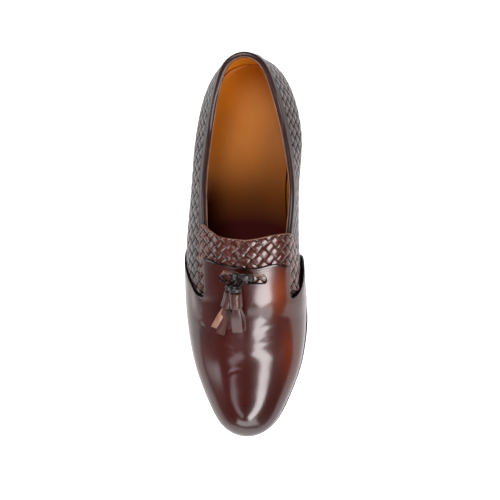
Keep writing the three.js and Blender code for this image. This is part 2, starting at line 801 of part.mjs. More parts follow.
// Tongue: woven instep strip under the tab, with an ear at each side
const tongueCells = cellsWhere((row, low, high) => (
  row >= SIDE_ROWS - 2 && low >= STATIONS[WOVEN_COLUMN] - 1e-9 && high <= STATIONS[TONGUE_COLUMN] + 1e-9
));
const tongueBlank = wallOver(tongueCells, flat(TONGUE_LEVEL), flat(SEAT_GAP), () => true).solid();
const TONGUE_FLOOR = 30;
const tongue = tongueBlank.intersect(uprightSolid(TONGUE_OUTLINE.map(planPoint), TONGUE_FLOOR, OVER_SHOE));
addPart('tongue', tongue, 'woven');

// Ring sections swept along stations and closed at both ends
function sweep(rings, closed) {
  const shell = new Shell();
  const count = rings[0].length;
  const last = closed ? rings.length : rings.length - 1;
  for (let k = 0; k < last; k += 1) {
    const [here, next] = [rings[k], rings[(k + 1) % rings.length]];
    for (let i = 0; i < count; i += 1) {
      const j = (i + 1) % count;
      shell.quad(here[i], here[j], next[j], next[i]);
    }
  }
  if (!closed) {
    const cap = (ring, flip) => {
      const middle = ring.reduce((sum, point) => sum.add(point), new THREE.Vector3());
      middle.multiplyScalar(1 / ring.length);
      for (let i = 0; i < count; i += 1) {
        const j = (i + 1) % count;
        const [from, to] = flip ? [ring[i], ring[j]] : [ring[j], ring[i]];
        shell.triangle(middle, from, to);
      }
    };
    cap(rings[0], false);
    cap(rings[rings.length - 1], true);
  }
  return shell.solid();
}

// Outline of a flat layer at a station: the sole-edge line pushed outwards by a margin
function layerEdge(station, side, margin) {
  const probe = 0.01;
  const point = linePoint(LINES.feather, station, side);
  const ahead = linePoint(LINES.feather, station + probe, side);
  const back = linePoint(LINES.feather, station - probe, side);
  if (station < probe) {
    back.copy(linePoint(LINES.feather, probe, -side));
  }
  if (station > 1 - probe) {
    ahead.copy(linePoint(LINES.feather, 1 - probe, -side));
  }
  const along = ahead.sub(back).normalize();
  const outward = new THREE.Vector3(along.y, -along.x, 0).multiplyScalar(side);
  return point.addScaledVector(outward, margin);
}

const SOLE_STEPS = 30;
const INSOLE_STEPS = 24;
const SOLE_END_STATION = 0.012;
const WAIST_START = 0.36;
const WAIST_BLEND = 0.14;
const SEAT_START = 0.66;
const SEAT_BLEND = 0.1;
const SEAT_WIDENING = 0.7;
const SOLE_EDGE_ROUND = 0.9;
const INSOLE_EDGE_ROUND = 0.6;
const INSOLE_GAP = 0.5;

// How far the sole's edge stands out from the upper: most at the toe, least at the waist
function soleMargin(station) {
  const waist = smooth((station - WAIST_START) / WAIST_BLEND);
  const seat = smooth((station - SEAT_START) / SEAT_BLEND);
  return TOE_EDGE + (WAIST_EDGE - TOE_EDGE) * waist + SEAT_WIDENING * seat;
}

// Layer between two heights that follow the sole, as rings across the shoe
function soleLayer(steps, margin, low, high, edgeRound) {
  const rings = [];
  for (let step = 0; step <= steps; step += 1) {
    const station = Math.min(1 - SOLE_END_STATION, Math.max(SOLE_END_STATION, step / steps));
    const lateral = layerEdge(station, -1, margin(station));
    const medial = layerEdge(station, 1, margin(station));
    const y = (lateral.y + medial.y) / 2;
    const ring = [];
    const push = (x, z) => ring.push(new THREE.Vector3(x, y, z));
    push(lateral.x + edgeRound, low(y));
    push(medial.x - edgeRound, low(y));
    push(medial.x, low(y) + edgeRound);
    push(medial.x, high(y) - edgeRound * 0.5);
    push(medial.x - edgeRound * 0.5, high(y));
    push(lateral.x + edgeRound * 0.5, high(y));
    push(lateral.x, high(y) - edgeRound * 0.5);
    push(lateral.x, low(y) + edgeRound);
    rings.push(ring);
  }
  return sweep(rings, false);
}

const soleBottom = (y) => soleTop(y) - OUTSOLE_THICKNESS;
addPart('outsole', soleLayer(SOLE_STEPS, soleMargin, soleBottom, soleTop, SOLE_EDGE_ROUND), 'sole');

// Insole: a full-length sock inside the wall
const insoleMargin = () => -(WALL + INSOLE_GAP);
const insoleLow = (y) => soleTop(y) + SEAT_GAP;
const insoleHigh = (y) => insoleLow(y) + INSOLE_THICKNESS;
const insole = soleLayer(INSOLE_STEPS, insoleMargin, insoleLow, insoleHigh, INSOLE_EDGE_ROUND);
addPart('insole', insole, 'lining');

// Heel: stacked lifts under the rear of the sole, each a little smaller than the one above
const HEEL_FRONT = SHOE_LENGTH / 2 - HEEL_LENGTH;
const BREAST_CURVE = 4;
const LIFT_COUNT = 3;
const LIFT_GROOVE = 0.5;
const HEEL_TAPER = 2.4;
const HEEL_SIDE_STEPS = 11;
const BREAST_STEPS = 4;
const TOP_PIECE_ROUND = 0.6;
const TOP_PIECE_LIP = 0.2;

function heelOutline(inset) {
  const outline = [];
  const start = stationAtHeel();
  for (const side of [1, -1]) {
    for (let step = 0; step <= HEEL_SIDE_STEPS; step += 1) {
      const share = side > 0 ? step / HEEL_SIDE_STEPS : 1 - step / HEEL_SIDE_STEPS;
      const station = start + (1 - start) * share;
      if (!(side < 0 && step === 0)) {
        outline.push(layerEdge(station, side, soleMargin(station) - inset));
      }
    }
  }
  const [first, final] = [outline[0], outline[outline.length - 1]];
  for (let step = 1; step < BREAST_STEPS; step += 1) {
    const share = step / BREAST_STEPS;
    const point = final.clone().lerp(first, share);
    point.y += BREAST_CURVE * 4 * share * (1 - share);
    outline.push(point);
  }
  return outline;
}

function stationAtHeel() {
  let station = 0.5;
  while (linePoint(LINES.feather, station, 1).y < HEEL_FRONT) {
    station += 0.002;
  }
  return station;
}

function stack(levels) {
  const rings = levels.map(({ z, inset }) => (
    heelOutline(inset).map((point) => new THREE.Vector3(point.x, point.y, z))
  ));
  return sweep(rings, false);
}

const heelTop = HEEL_LIFT - SEAT_GAP;
const heelBottom = TOP_PIECE_THICKNESS;
const liftHeight = (heelTop - heelBottom) / LIFT_COUNT;
const heelInset = (z) => HEEL_TAPER * (1 - z / heelTop);
const heelLevels = [];
for (let lift = 0; lift < LIFT_COUNT; lift += 1) {
  const low = heelBottom + lift * liftHeight;
  const high = low + liftHeight;
  heelLevels.push({ z: low, inset: heelInset(low) + (lift > 0 ? LIFT_GROOVE : 0) });
  heelLevels.push({ z: low + LIFT_GROOVE, inset: heelInset(low) });
  heelLevels.push({ z: high - LIFT_GROOVE, inset: heelInset(high) });
}
heelLevels.push({ z: heelTop, inset: heelInset(heelTop) });
addPart('heel', stack(heelLevels), 'sole');
const topPieceLevels = [
  { z: 0, inset: heelInset(0) + TOP_PIECE_ROUND },
  { z: TOP_PIECE_ROUND, inset: heelInset(0) },
  { z: TOP_PIECE_THICKNESS, inset: heelInset(TOP_PIECE_THICKNESS) - TOP_PIECE_LIP },
];
addPart('heel_top_piece', stack(topPieceLevels), 'rubber');

// Collar binding: a band folded over the topline, from one ear of the tongue round to the other
const EAR_CLEARANCE = 1.5;
const BAND_CREST = SEAT_GAP + BAND_THICKNESS;
const BAND_SHOULDER = 0.2;
// Rows of the upper: where the band ends outside and inside, and the step that gives the wall's lean
const BAND_OUTER_ROW = 5.05;
const BAND_INNER_ROW = 5.38;
const LEAN_ROWS = 0.2;
const MIN_RING_STEP = 0.012;

function collarRing(loop) {
  const top = surface(loop, SIDE_ROWS);
  const normal = surfaceNormal(loop, SIDE_ROWS);
  const up = top.clone().sub(surface(loop, SIDE_ROWS - LEAN_ROWS)).normalize();
  const raised = (out, rise) => top.clone().addScaledVector(normal, out).addScaledVector(up, rise);
  const inner = -(WALL + SEAT_GAP);
  return [
    skinPoint(loop, BAND_OUTER_ROW, SEAT_GAP),
    skinPoint(loop, BAND_OUTER_ROW, BAND_CREST),
    raised(BAND_CREST, BAND_SHOULDER),
    raised(-WALL * 0.1, BAND_CREST),
    raised(-WALL * 0.9, BAND_CREST),
    raised(inner - BAND_THICKNESS, BAND_SHOULDER),
    skinPoint(loop, BAND_INNER_ROW, inner - BAND_THICKNESS),
    skinPoint(loop, BAND_INNER_ROW, inner),
    raised(inner, SEAT_GAP),
    raised(SEAT_GAP, SEAT_GAP),
  ];
}

function collarStations() {
  const ear = (side) => {
    const edge = side > 0 ? TONGUE_OUTLINE[5] : TONGUE_OUTLINE[11];
    return stationAlong(side, SIDE_ROWS, edge.along * SHOE_LENGTH + EAR_CLEARANCE);
  };
  const [medial, lateral] = [ear(1), ear(-1)];
  const loops = [medial];
  for (let column = 0; column <= LOOP_COLUMNS; column += 1) {
    const loop = columnLoop(column);
    if (loop > medial + MIN_RING_STEP && loop < 2 - lateral - MIN_RING_STEP) {
      loops.push(loop);
    }
  }
  loops.push(2 - lateral);
  return loops;
}
addPart('collar_binding', sweep(collarStations().map(collarRing), false), 'band');

// Back strap down the heel, under the collar binding
const STRAP_TOP_GAP_ROWS = 0.08;
const strapPlace = (u, v) => {
  const column = HEEL_COLUMN - 1 + 2 * u;
  const low = columnLoop(Math.floor(column));
  const high = columnLoop(Math.ceil(column));
  return { loop: (low + high) / 2, row: v * (SIDE_ROWS - 1) - (v === 1 ? STRAP_TOP_GAP_ROWS : 0) };
};
addPart('back_strap', patch(2, SIDE_ROWS - 1, strapPlace, SEAT_GAP + BAND_THICKNESS, SEAT_GAP), 'band');

// Height of the upper under a place on the instep seen from above
const ROW_HALVINGS = 16;

function instepHeight(x, y) {
  const centre = ridgeCentreAt(y);
  const side = x > centre ? 1 : -1;
  let [low, high] = [SIDE_ROWS, ROWS];
  for (let step = 0; step < ROW_HALVINGS; step += 1) {
    const middle = (low + high) / 2;
    const station = stationAlong(side, middle, y);
    const point = surface(side > 0 ? station : 2 - station, middle);
    if (Math.abs(point.x - centre) > Math.abs(x - centre)) {
      low = middle;
    } else {
      high = middle;
    }
  }
  const station = stationAlong(side, low, y);
  return surface(side > 0 ? station : 2 - station, low).z;
}

function ridgeCentreAt(y) {
  return surface(stationAlong(1, ROWS, y), ROWS).x;
}

// Tie strap: flat lace out of one slot, bowed over the bridge and into the other
const [leftSlot, rightSlot] = SLOTS.map(planPoint);
const TIE_BOW = 6.5;
const TIE_STEPS = 12;
const TIE_INSET = 2.2;
const TIE_ROUNDNESS = 0.55;
const TIE_PROBE = 0.02;
const tieStart = leftSlot.x + TIE_INSET;
const tieEnd = rightSlot.x - TIE_INSET;
const tieLow = TONGUE_LEVEL + 2 * SEAT_GAP + TIE_THICKNESS / 2;

function tieCentre(share) {
  const angle = Math.PI * share;
  const x = (tieStart + tieEnd) / 2 - ((tieEnd - tieStart) / 2) * Math.sign(Math.cos(angle))
    * Math.abs(Math.cos(angle)) ** TIE_ROUNDNESS;
  const y = leftSlot.y + (rightSlot.y - leftSlot.y) * share;
  const z = instepHeight(x, y) + tieLow + (TIE_BOW + TAB_LIFT) * Math.sin(angle);
  return new THREE.Vector3(x, y, z);
}

function tieRing(step) {
  const share = step / TIE_STEPS;
  const centre = tieCentre(share);
  const ahead = tieCentre(Math.min(1, share + TIE_PROBE));
  const back = tieCentre(Math.max(0, share - TIE_PROBE));
  const along = ahead.sub(back).setY(0).normalize();
  const out = new THREE.Vector3(-along.z, 0, along.x).multiplyScalar(TIE_THICKNESS / 2);
  const behind = instepHeight(centre.x, centre.y + TIE_WIDTH / 2);
  const before = instepHeight(centre.x, centre.y - TIE_WIDTH / 2);
  const wide = new THREE.Vector3(0, TIE_WIDTH / 2, (behind - before) / 2);
  const corner = (across, up) => (
    centre.clone().addScaledVector(wide, across).addScaledVector(out, up)
  );
  return [corner(-1, -1), corner(-1, 1), corner(1, 1), corner(1, -1)];
}
const tieRings = [];
for (let step = 0; step <= TIE_STEPS; step += 1) {
  tieRings.push(tieRing(step));
}
addPart('tie_strap', sweep(tieRings, false), 'tassel');

// Tassels: knot, wrapped head and a skirt of leather strips in one solid, and a thong to the tie strap
const KNOT_LENGTH = 7;
const KNOT_WIDTH = 9.6;
const KNOT_HEIGHT = 7.6;
const THONG_DIAMETER = 2.4;
const HEAD_LIP = 0.8;
const HEAD_ROUND = 1;
const HEAD_WAIST = 0.93;
const HEAD_NECK = 0.95;
const HEAD_SIDES = 12;
const KNOT_SIDES = 10;
const KNOT_RINGS = 6;
const THONG_STEPS = 6;
const SKIRT_STEPS = 3;
const STRIP_TUCK = 2;
const STRIP_FAN = 3;
const STRIP_ROOT_SHARE = 0.7;
const UPPER_TASSEL_HEIGHT = 13.2;
const LOWER_TASSEL_HEIGHT = 4.8;
const UPPER_THONG_OFFSET = 2.8;
const LOWER_THONG_OFFSET = -1.6;

function closedSolid(geometry) {
  const shell = new Shell();
  const flatGeometry = geometry.index ? geometry.toNonIndexed() : geometry;
  const { position } = flatGeometry.attributes;
  const corner = (index) => new THREE.Vector3().fromBufferAttribute(position, index);
  for (let index = 0; index < position.count; index += 3) {
    shell.triangle(corner(index), corner(index + 1), corner(index + 2));
  }
  return shell.solid();
}

function skirtStrip({ angle, curl, lift, length, width }) {
  const rings = [];
  const start = -(KNOT_LENGTH / 2 + TASSEL_HEAD_LENGTH - STRIP_TUCK);
  for (let step = 0; step <= SKIRT_STEPS; step += 1) {
    const share = step / SKIRT_STEPS;
    const reach = (TASSEL_STRIP_LENGTH + STRIP_TUCK) * length * share;
    const turn = angle + curl * share;
    const x = Math.sin(angle + (curl * share) / 2) * reach + Math.sin(angle) * STRIP_FAN;
    const y = start - Math.cos(angle + (curl * share) / 2) * reach;
    const z = lift * share * share;
    const across = new THREE.Vector3(Math.cos(turn), Math.sin(turn), 0);
    const spread = STRIP_ROOT_SHARE + (1 - STRIP_ROOT_SHARE) * share;
    const half = (TASSEL_STRIP_WIDTH / 2) * width * spread;
    const corner = (side, up) => (
      new THREE.Vector3(x, y, z + up * (TASSEL_STRIP_THICKNESS / 2)).addScaledVector(across, side * half)
    );
    rings.push([corner(-1, -1), corner(1, -1), corner(1, 1), corner(-1, 1)]);
  }
  return sweep(rings, false);
}

function tassel(strips, thong) {
  const knot = new THREE.SphereGeometry(0.5, KNOT_SIDES, KNOT_RINGS);
  knot.scale(KNOT_WIDTH, KNOT_LENGTH, KNOT_HEIGHT);
  let solid = closedSolid(knot);
  const radius = TASSEL_HEAD_DIAMETER / 2;
  const profile = [
    new THREE.Vector2(0, 0),
    new THREE.Vector2(radius * HEAD_LIP, 0),
    new THREE.Vector2(radius, HEAD_ROUND),
    new THREE.Vector2(radius * HEAD_WAIST, TASSEL_HEAD_LENGTH * 0.3),
    new THREE.Vector2(radius * HEAD_NECK, TASSEL_HEAD_LENGTH),
    new THREE.Vector2(0, TASSEL_HEAD_LENGTH),
  ];
  const head = new THREE.LatheGeometry(profile, HEAD_SIDES);
  head.translate(0, HEAD_ROUND - (KNOT_LENGTH / 2 + TASSEL_HEAD_LENGTH), 0);
  solid = solid.add(closedSolid(head));
  for (const strip of strips) {
    solid = solid.add(skirtStrip(strip));
  }
  const path = new THREE.CatmullRomCurve3(thong);
  const circle = new THREE.Shape();
  circle.absarc(0, 0, THONG_DIAMETER / 2, 0, 2 * Math.PI);
  const tube = new THREE.ExtrudeGeometry(circle, { steps: THONG_STEPS, curveSegments: 4, extrudePath: path });
  return solid.add(closedSolid(tube));
}

// Where each tassel lies: knot seen from above, turn to the little-toe side, tilt and height of its axis
// over the vamp, where its thong meets the lace, and its strips from the big-toe side on
const TASSELS = [
  {
    name: 'tassel_a',
    across: -0.045,
    along: -0.1,
    turn: 0.02,
    tilt: 0.08,
    height: UPPER_TASSEL_HEIGHT,
    thongOffset: UPPER_THONG_OFFSET,
    strips: [
      { angle: 0.34, curl: -0.4, lift: -1.5, length: 0.94, width: 0.75 },
      { angle: 0.02, curl: 0.02, lift: -0.5, length: 1.0, width: 1.1 },
      { angle: -0.2, curl: 0.16, lift: -1.8, length: 0.84, width: 0.7 },
    ],
  },
  {
    name: 'tassel_b',
    across: -0.1,
    along: -0.1,
    turn: -0.46,
    tilt: -0.04,
    height: LOWER_TASSEL_HEIGHT,
    thongOffset: LOWER_THONG_OFFSET,
    strips: [
      { angle: 0.2, curl: 0.1, lift: 0.6, length: 0.9, width: 0.8 },
      { angle: -0.02, curl: -0.04, lift: 0.4, length: 1.05, width: 1.0 },
      { angle: -0.3, curl: -0.1, lift: 0.1, length: 0.9, width: 0.7 },
    ],
  },
];

const tieMiddle = tieCentre(0.5);
for (const { name, across, along, turn, tilt, height, thongOffset, strips } of TASSELS) {
  const knot = planPoint({ across, along });
  const place = new THREE.Object3D();
  const ground = instepHeight(knot.x, knot.y) + TAB_LIFT + TONGUE_LEVEL;
  place.position.set(knot.x, knot.y, ground + height);
  const reach = TASSEL_STRIP_LENGTH * 1.5;
  const drop = instepHeight(knot.x, knot.y) - instepHeight(knot.x, knot.y - reach);
  const slope = Math.atan2(drop, reach);
  place.rotation.set(slope + tilt, 0, turn, 'ZXY');
  place.updateMatrixWorld();
  const under = tieMiddle.clone();
  under.x += thongOffset;
  under.z -= TIE_THICKNESS / 2 + 3 * SEAT_GAP + THONG_DIAMETER / 2;
  const clearOfStrap = leftSlot.y - TIE_WIDTH / 2 - THONG_DIAMETER;
  const rise = new THREE.Vector3(under.x - THONG_DIAMETER, clearOfStrap, under.z);
  rise.z = Math.max(rise.z - THONG_DIAMETER, ground + THONG_DIAMETER);
  const thong = [new THREE.Vector3(0, 0, 0), place.worldToLocal(rise), place.worldToLocal(under)];
  addPart(name, tassel(strips, thong), 'tassel');
  const mesh = shoe.children[shoe.children.length - 1];
  mesh.position.copy(place.position);
  mesh.rotation.copy(place.rotation);
}

export default shoe;
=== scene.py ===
"""A tassel loafer for the right foot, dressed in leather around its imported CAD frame.

Everything is in metres in the frame of the CAD part: the toe points to -Y, the big-toe side is +X
and the floor is z = 0.
"""

import logging
import math
from dataclasses import dataclass
from enum import Enum
from typing import Callable, Sequence

import bpy
import numpy as np
from mathutils import Matrix, Vector
from mathutils.bvhtree import BVHTree
from mathutils.kdtree import KDTree


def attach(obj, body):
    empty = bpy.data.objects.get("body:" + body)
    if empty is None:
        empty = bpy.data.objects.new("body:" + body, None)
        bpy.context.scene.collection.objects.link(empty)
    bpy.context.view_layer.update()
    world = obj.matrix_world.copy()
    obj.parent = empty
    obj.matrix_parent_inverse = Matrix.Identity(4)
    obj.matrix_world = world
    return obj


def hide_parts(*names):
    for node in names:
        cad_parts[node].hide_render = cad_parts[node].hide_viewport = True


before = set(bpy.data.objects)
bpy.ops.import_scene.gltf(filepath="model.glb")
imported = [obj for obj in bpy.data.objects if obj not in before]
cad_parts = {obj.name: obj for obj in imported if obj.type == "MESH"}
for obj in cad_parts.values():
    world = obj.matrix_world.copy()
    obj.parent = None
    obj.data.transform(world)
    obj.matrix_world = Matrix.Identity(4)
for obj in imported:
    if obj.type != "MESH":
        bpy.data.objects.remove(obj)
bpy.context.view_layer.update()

MM = 0.001
SEED = 11
SNAP_REACH = 2.2 * MM

log = logging.getLogger("loafer")


class Side(Enum):
    """The two sides of a right shoe, by the sign of x."""

    MEDIAL = 1
    LATERAL = -1


def side_loop(side: Side, station: float | np.ndarray) -> float | np.ndarray:
    """Place on the loop round the shoe of a station on one side."""
    return station if side is Side.MEDIAL else 2 - station


class Slot(Enum):
    """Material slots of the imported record."""

    POLISHED = "polished_calf"
    PLAITED = "plaited_calf"
    BINDING = "binding_calf"
    SOLE = "sole_leather"
    RUBBER = "heel_rubber"
    LINING = "lining_leather"
    TASSEL = "tassel_leather"


@dataclass(frozen=True)
class ShoeSizes:
    """Driving sizes of the shoe, as in the part's own source."""

    length: float = 298 * MM
    ball_width: float = 96 * MM
    outsole: float = 5 * MM
    heel_lift: float = 22 * MM
    toe_spring: float = 10 * MM
    back_height: float = 61 * MM
    instep_height: float = 70 * MM
    wall: float = 2.2 * MM
    overlay: float = 1.3 * MM
    band: float = 0.9 * MM
    band_width: float = 5.5 * MM
    insole: float = 3 * MM
    gap: float = 0.3 * MM
    heel_length: float = 66 * MM
    top_piece: float = 6 * MM
    toe_edge: float = 3.4 * MM
    waist_edge: float = 1.2 * MM
    back_strap_width: float = 21 * MM
    rest_start: float = -0.2
    rest_end: float = -0.12
    rise_end: float = 0.275


@dataclass(frozen=True)
class Section:
    """A cross-section of the last; halves and centres are shares of the ball width, rises of the back height."""

    feather_half: float
    feather_centre: float
    wide_half: float
    wide_centre: float
    wide_rise: float
    top_half: float
    top_centre: float
    top_rise: float
    turn: float


@dataclass(frozen=True)
class RidgeStep:
    """A point of the instep's ridge: share of the length, of the instep height and of the ball width."""

    along: float
    rise: float
    centre: float


@dataclass(frozen=True)
class EdgePoint:
    """A point of a cut edge: row of the upper, or share of the ball width, and share of the length."""

    across: float
    along: float


SECTIONS = (
    Section(0.000, 0.000, 0.000, 0.000, 0.164, 0.000, 0.000, 0.390, 0.40),
    Section(0.180, 0.000, 0.184, 0.000, 0.174, 0.109, 0.000, 0.420, 0.42),
    Section(0.308, 0.000, 0.315, 0.000, 0.179, 0.188, 0.000, 0.492, 0.50),
    Section(0.422, 0.000, 0.434, 0.000, 0.205, 0.258, 0.008, 0.580, 0.53),
    Section(0.464, -0.010, 0.480, -0.010, 0.262, 0.308, 0.024, 0.760, 0.53),
    Section(0.406, -0.036, 0.458, -0.029, 0.311, 0.330, 0.034, 0.915, 0.48),
    Section(0.359, -0.021, 0.436, -0.005, 0.238, 0.352, 0.042, 0.721, 0.28),
    Section(0.370, 0.010, 0.427, 0.026, 0.197, 0.302, 0.036, 0.680, 0.24),
    Section(0.323, 0.026, 0.352, 0.031, 0.230, 0.229, 0.033, 0.877, 0.24),
    Section(0.198, 0.031, 0.214, 0.031, 0.254, 0.142, 0.031, 0.975, 0.22),
    Section(0.000, 0.031, 0.000, 0.031, 0.262, 0.000, 0.031, 1.000, 0.20),
)
RIDGE = (
    RidgeStep(-0.408, 0.456, 0.000),
    RidgeStep(-0.390, 0.472, 0.000),
    RidgeStep(-0.355, 0.515, 0.006),
    RidgeStep(-0.279, 0.602, 0.020),
    RidgeStep(-0.148, 0.806, 0.031),
    RidgeStep(-0.003, 0.985, 0.034),
    RidgeStep(0.141, 0.990, 0.042),
)
WINGS = {
    Side.LATERAL: (
        EdgePoint(0.0, 0.010),
        EdgePoint(1.0, 0.006),
        EdgePoint(2.0, -0.024),
        EdgePoint(3.0, -0.063),
        EdgePoint(3.8, -0.094),
        EdgePoint(4.4, -0.112),
        EdgePoint(4.9, -0.1205),
        EdgePoint(5.4, -0.1220),
        EdgePoint(5.8, -0.1150),
        EdgePoint(6.0, -0.1020),
    ),
    Side.MEDIAL: (
        EdgePoint(0.0, -0.014),
        EdgePoint(1.2, -0.022),
        EdgePoint(2.4, -0.050),
        EdgePoint(3.2, -0.080),
        EdgePoint(3.9, -0.102),
        EdgePoint(4.5, -0.116),
        EdgePoint(5.0, -0.1235),
        EdgePoint(5.4, -0.1240),
        EdgePoint(5.8, -0.1170),
        EdgePoint(6.0, -0.1040),
    ),
}
TAB_EDGE = (
    EdgePoint(-0.420, -0.010),
    EdgePoint(-0.281, -0.023),
    EdgePoint(-0.147, -0.0365),
    EdgePoint(-0.010, -0.0455),
    EdgePoint(0.101, -0.0465),
    EdgePoint(0.269, -0.0375),
    EdgePoint(0.333, -0.0420),
    EdgePoint(0.470, -0.0300),
)
TONGUE_EDGE = (
    EdgePoint(0.412, -0.060),
    EdgePoint(0.412, -0.015),
    EdgePoint(0.398, 0.020),
    EdgePoint(0.368, 0.036),
    EdgePoint(0.266, 0.034),
    EdgePoint(0.121, 0.0245),
    EdgePoint(-0.018, 0.0220),
    EdgePoint(-0.156, 0.0295),
    EdgePoint(-0.233, 0.0440),
    EdgePoint(-0.302, 0.0600),
    EdgePoint(-0.330, 0.0420),
    EdgePoint(-0.338, 0.0160),
    EdgePoint(-0.334, -0.0600),
)
TONGUE_FRONT = -0.112

SIDE_ROWS = 6
INSTEP_ROWS = 4
ROWS = SIDE_ROWS + INSTEP_ROWS
INSTEP_END = 0.6


def smooth(value: np.ndarray | float) -> np.ndarray:
    """Ease a value from 0 to 1 with level ends."""
    share = np.clip(value, 0, 1)
    return share * share * (3 - 2 * share)


def curve_value(values: Sequence[float], place: float, mirrored: bool) -> float:
    """Read a smooth curve through evenly spaced values.

    Args:
        values: The values, one for each step.
        place: The place on the curve, in steps.
        mirrored: Whether the curve changes sign beyond its ends.

    Returns:
        The value there.
    """
    sign = -1 if mirrored else 1
    last = len(values) - 1
    index = min(last - 1, max(0, math.floor(place)))
    share = place - index
    ring = [sign * values[1], *values, sign * values[last - 1]]
    p0, p1, p2, p3 = ring[index:index + 4]
    curl = 2 * p0 - 5 * p1 + 4 * p2 - p3
    twist = 3 * (p1 - p2) + p3 - p0
    return p1 + 0.5 * share * (p2 - p0 + share * (curl + share * twist))


def bezier(start: np.ndarray, middle: np.ndarray, end: np.ndarray, steps: int) -> np.ndarray:
    """Points of a curve that leaves start and reaches end, pulled to middle."""
    share = np.linspace(0, 1, steps)[:, None]
    return start * (1 - share) ** 2 + middle * 2 * share * (1 - share) + end * share**2


class Last:
    """The surface of the upper's outer face, the same as the CAD part's own."""

    STEPS = 400
    ROW_STEPS = 20
    SAMPLES = 40

    def __init__(self, sizes: ShoeSizes) -> None:
        """Work the surface out as a table over the loop round the shoe and the rows up it."""
        self.sizes = sizes
        rows = np.linspace(0, ROWS, ROWS * self.ROW_STEPS + 1)
        self.points = np.array([
            self._section(index / self.STEPS, rows) for index in range(2 * self.STEPS)
        ])
        self.normals = self._find_normals()

    def sole_top(self, y: np.ndarray | float) -> np.ndarray:
        """Height of the outsole's upper face at a place along the shoe."""
        sizes = self.sizes
        spring_start = sizes.rest_start * sizes.length
        spring = np.maximum(0, (spring_start - y) / (spring_start + sizes.length / 2))
        rise_start = sizes.rest_end * sizes.length
        rise = smooth((y - rise_start) / (sizes.rise_end * sizes.length - rise_start))
        return sizes.outsole + sizes.toe_spring * spring**2 + sizes.heel_lift * rise

    def _column(self, key: str, station: float, mirrored: bool) -> float:
        """A column of the section table at a station."""
        return curve_value([getattr(row, key) for row in SECTIONS], station * 10, mirrored)

    def line(self, name: str, station: float, side: int, toe: float, heel: float) -> np.ndarray:
        """A point of one of the lines round the shoe, at height 0."""
        front = -self.sizes.length / 2 + toe
        back = self.sizes.length / 2 - heel
        y = (front + back) / 2 - (back - front) / 2 * math.cos(math.pi * station)
        half = self._column(f"{name}_half", station, True)
        centre = self._column(f"{name}_centre", station, False)
        return np.array([(centre + side * half) * self.sizes.ball_width, y, 0.0])

    def feather(self, station: float, side: int) -> np.ndarray:
        """A point of the line where the upper meets the sole, at height 0."""
        return self.line("feather", station, side, 3.5 * MM, 3.0 * MM)

    def ridge(self, station: float) -> np.ndarray:
        """A point of the instep's ridge."""
        place = station * 10
        sizes = self.sizes
        x = curve_value([row.centre for row in RIDGE], place, False) * sizes.ball_width
        y = curve_value([row.along for row in RIDGE], place, False) * sizes.length
        rise = curve_value([row.rise for row in RIDGE], place, False) * sizes.instep_height
        return np.array([x, y, float(self.sole_top(y)) + rise])

    def _section(self, loop: float, rows: np.ndarray) -> np.ndarray:
        """Points up one section of the shoe, one for each row."""
        side = 1 if loop <= 1 else -1
        station = loop if loop <= 1 else 2 - loop
        sizes = self.sizes
        feather = self.feather(station, side)
        wide = self.line("wide", station, side, 2.5 * MM, 1.5 * MM)
        top = self.line("top", station, side, 11 * MM, 6.5 * MM)
        feather[2] = self.sole_top(feather[1]) + sizes.gap
        wide[2] = self.sole_top(wide[1]) + self._column("wide_rise", station, False) * sizes.back_height
        top[2] = self.sole_top(top[1]) + self._column("top_rise", station, False) * sizes.back_height
        turn = self._column("turn", station, False)
        low_bend = np.array([wide[0], wide[1], feather[2] + 0.45 * (wide[2] - feather[2])])
        wall_bend = np.array([wide[0], wide[1], wide[2] + turn * (top[2] - wide[2])])
        wall = np.vstack([
            bezier(feather, low_bend, wide, self.SAMPLES)[:-1],
            bezier(wide, wall_bend, top, self.SAMPLES),
        ])
        lengths = np.concatenate([[0], np.cumsum(np.linalg.norm(np.diff(wall, axis=0), axis=1))])
        band_start = lengths[-1] - sizes.band_width
        low_rows = np.minimum(rows, SIDE_ROWS)
        targets = np.where(
            low_rows <= SIDE_ROWS - 1,
            band_start * low_rows / (SIDE_ROWS - 1),
            band_start + sizes.band_width * (low_rows - SIDE_ROWS + 1),
        )
        points = np.stack([np.interp(targets, lengths, wall[:, axis]) for axis in range(3)], axis=1)
        if station <= INSTEP_END:
            ridge = self.ridge(station)
            inward = np.linalg.norm((wide - top)[:2])
            lean = inward / (top[2] - wall_bend[2])
            across = np.linalg.norm((ridge - top)[:2])
            share = min(0.8, (ridge[2] - top[2]) * lean / across)
            shoulder = np.array([top[0], top[1], ridge[2]])
            shoulder = shoulder + (ridge - shoulder) * share
            instep = bezier(top, shoulder, ridge, self.SAMPLES)
            lengths = np.concatenate([[0], np.cumsum(np.linalg.norm(np.diff(instep, axis=0), axis=1))])
            high = rows > SIDE_ROWS
            targets = lengths[-1] * (rows[high] - SIDE_ROWS) / INSTEP_ROWS
            points[high] = np.stack(
                [np.interp(targets, lengths, instep[:, axis]) for axis in range(3)], axis=1
            )
        return points

    def _find_normals(self) -> np.ndarray:
        """Outward normals of the table's points."""
        along = np.roll(self.points, -1, axis=0) - np.roll(self.points, 1, axis=0)
        up = np.gradient(self.points, axis=1)
        normals = np.cross(along, up)
        normals[:, -1, 0] = 0
        sizes = np.linalg.norm(normals, axis=2, keepdims=True)
        for row in range(1, normals.shape[1]):
            weak = sizes[:, row, 0] < 1e-13
            normals[weak, row] = normals[weak, row - 1]
        return normals / np.maximum(np.linalg.norm(normals, axis=2, keepdims=True), 1e-15)

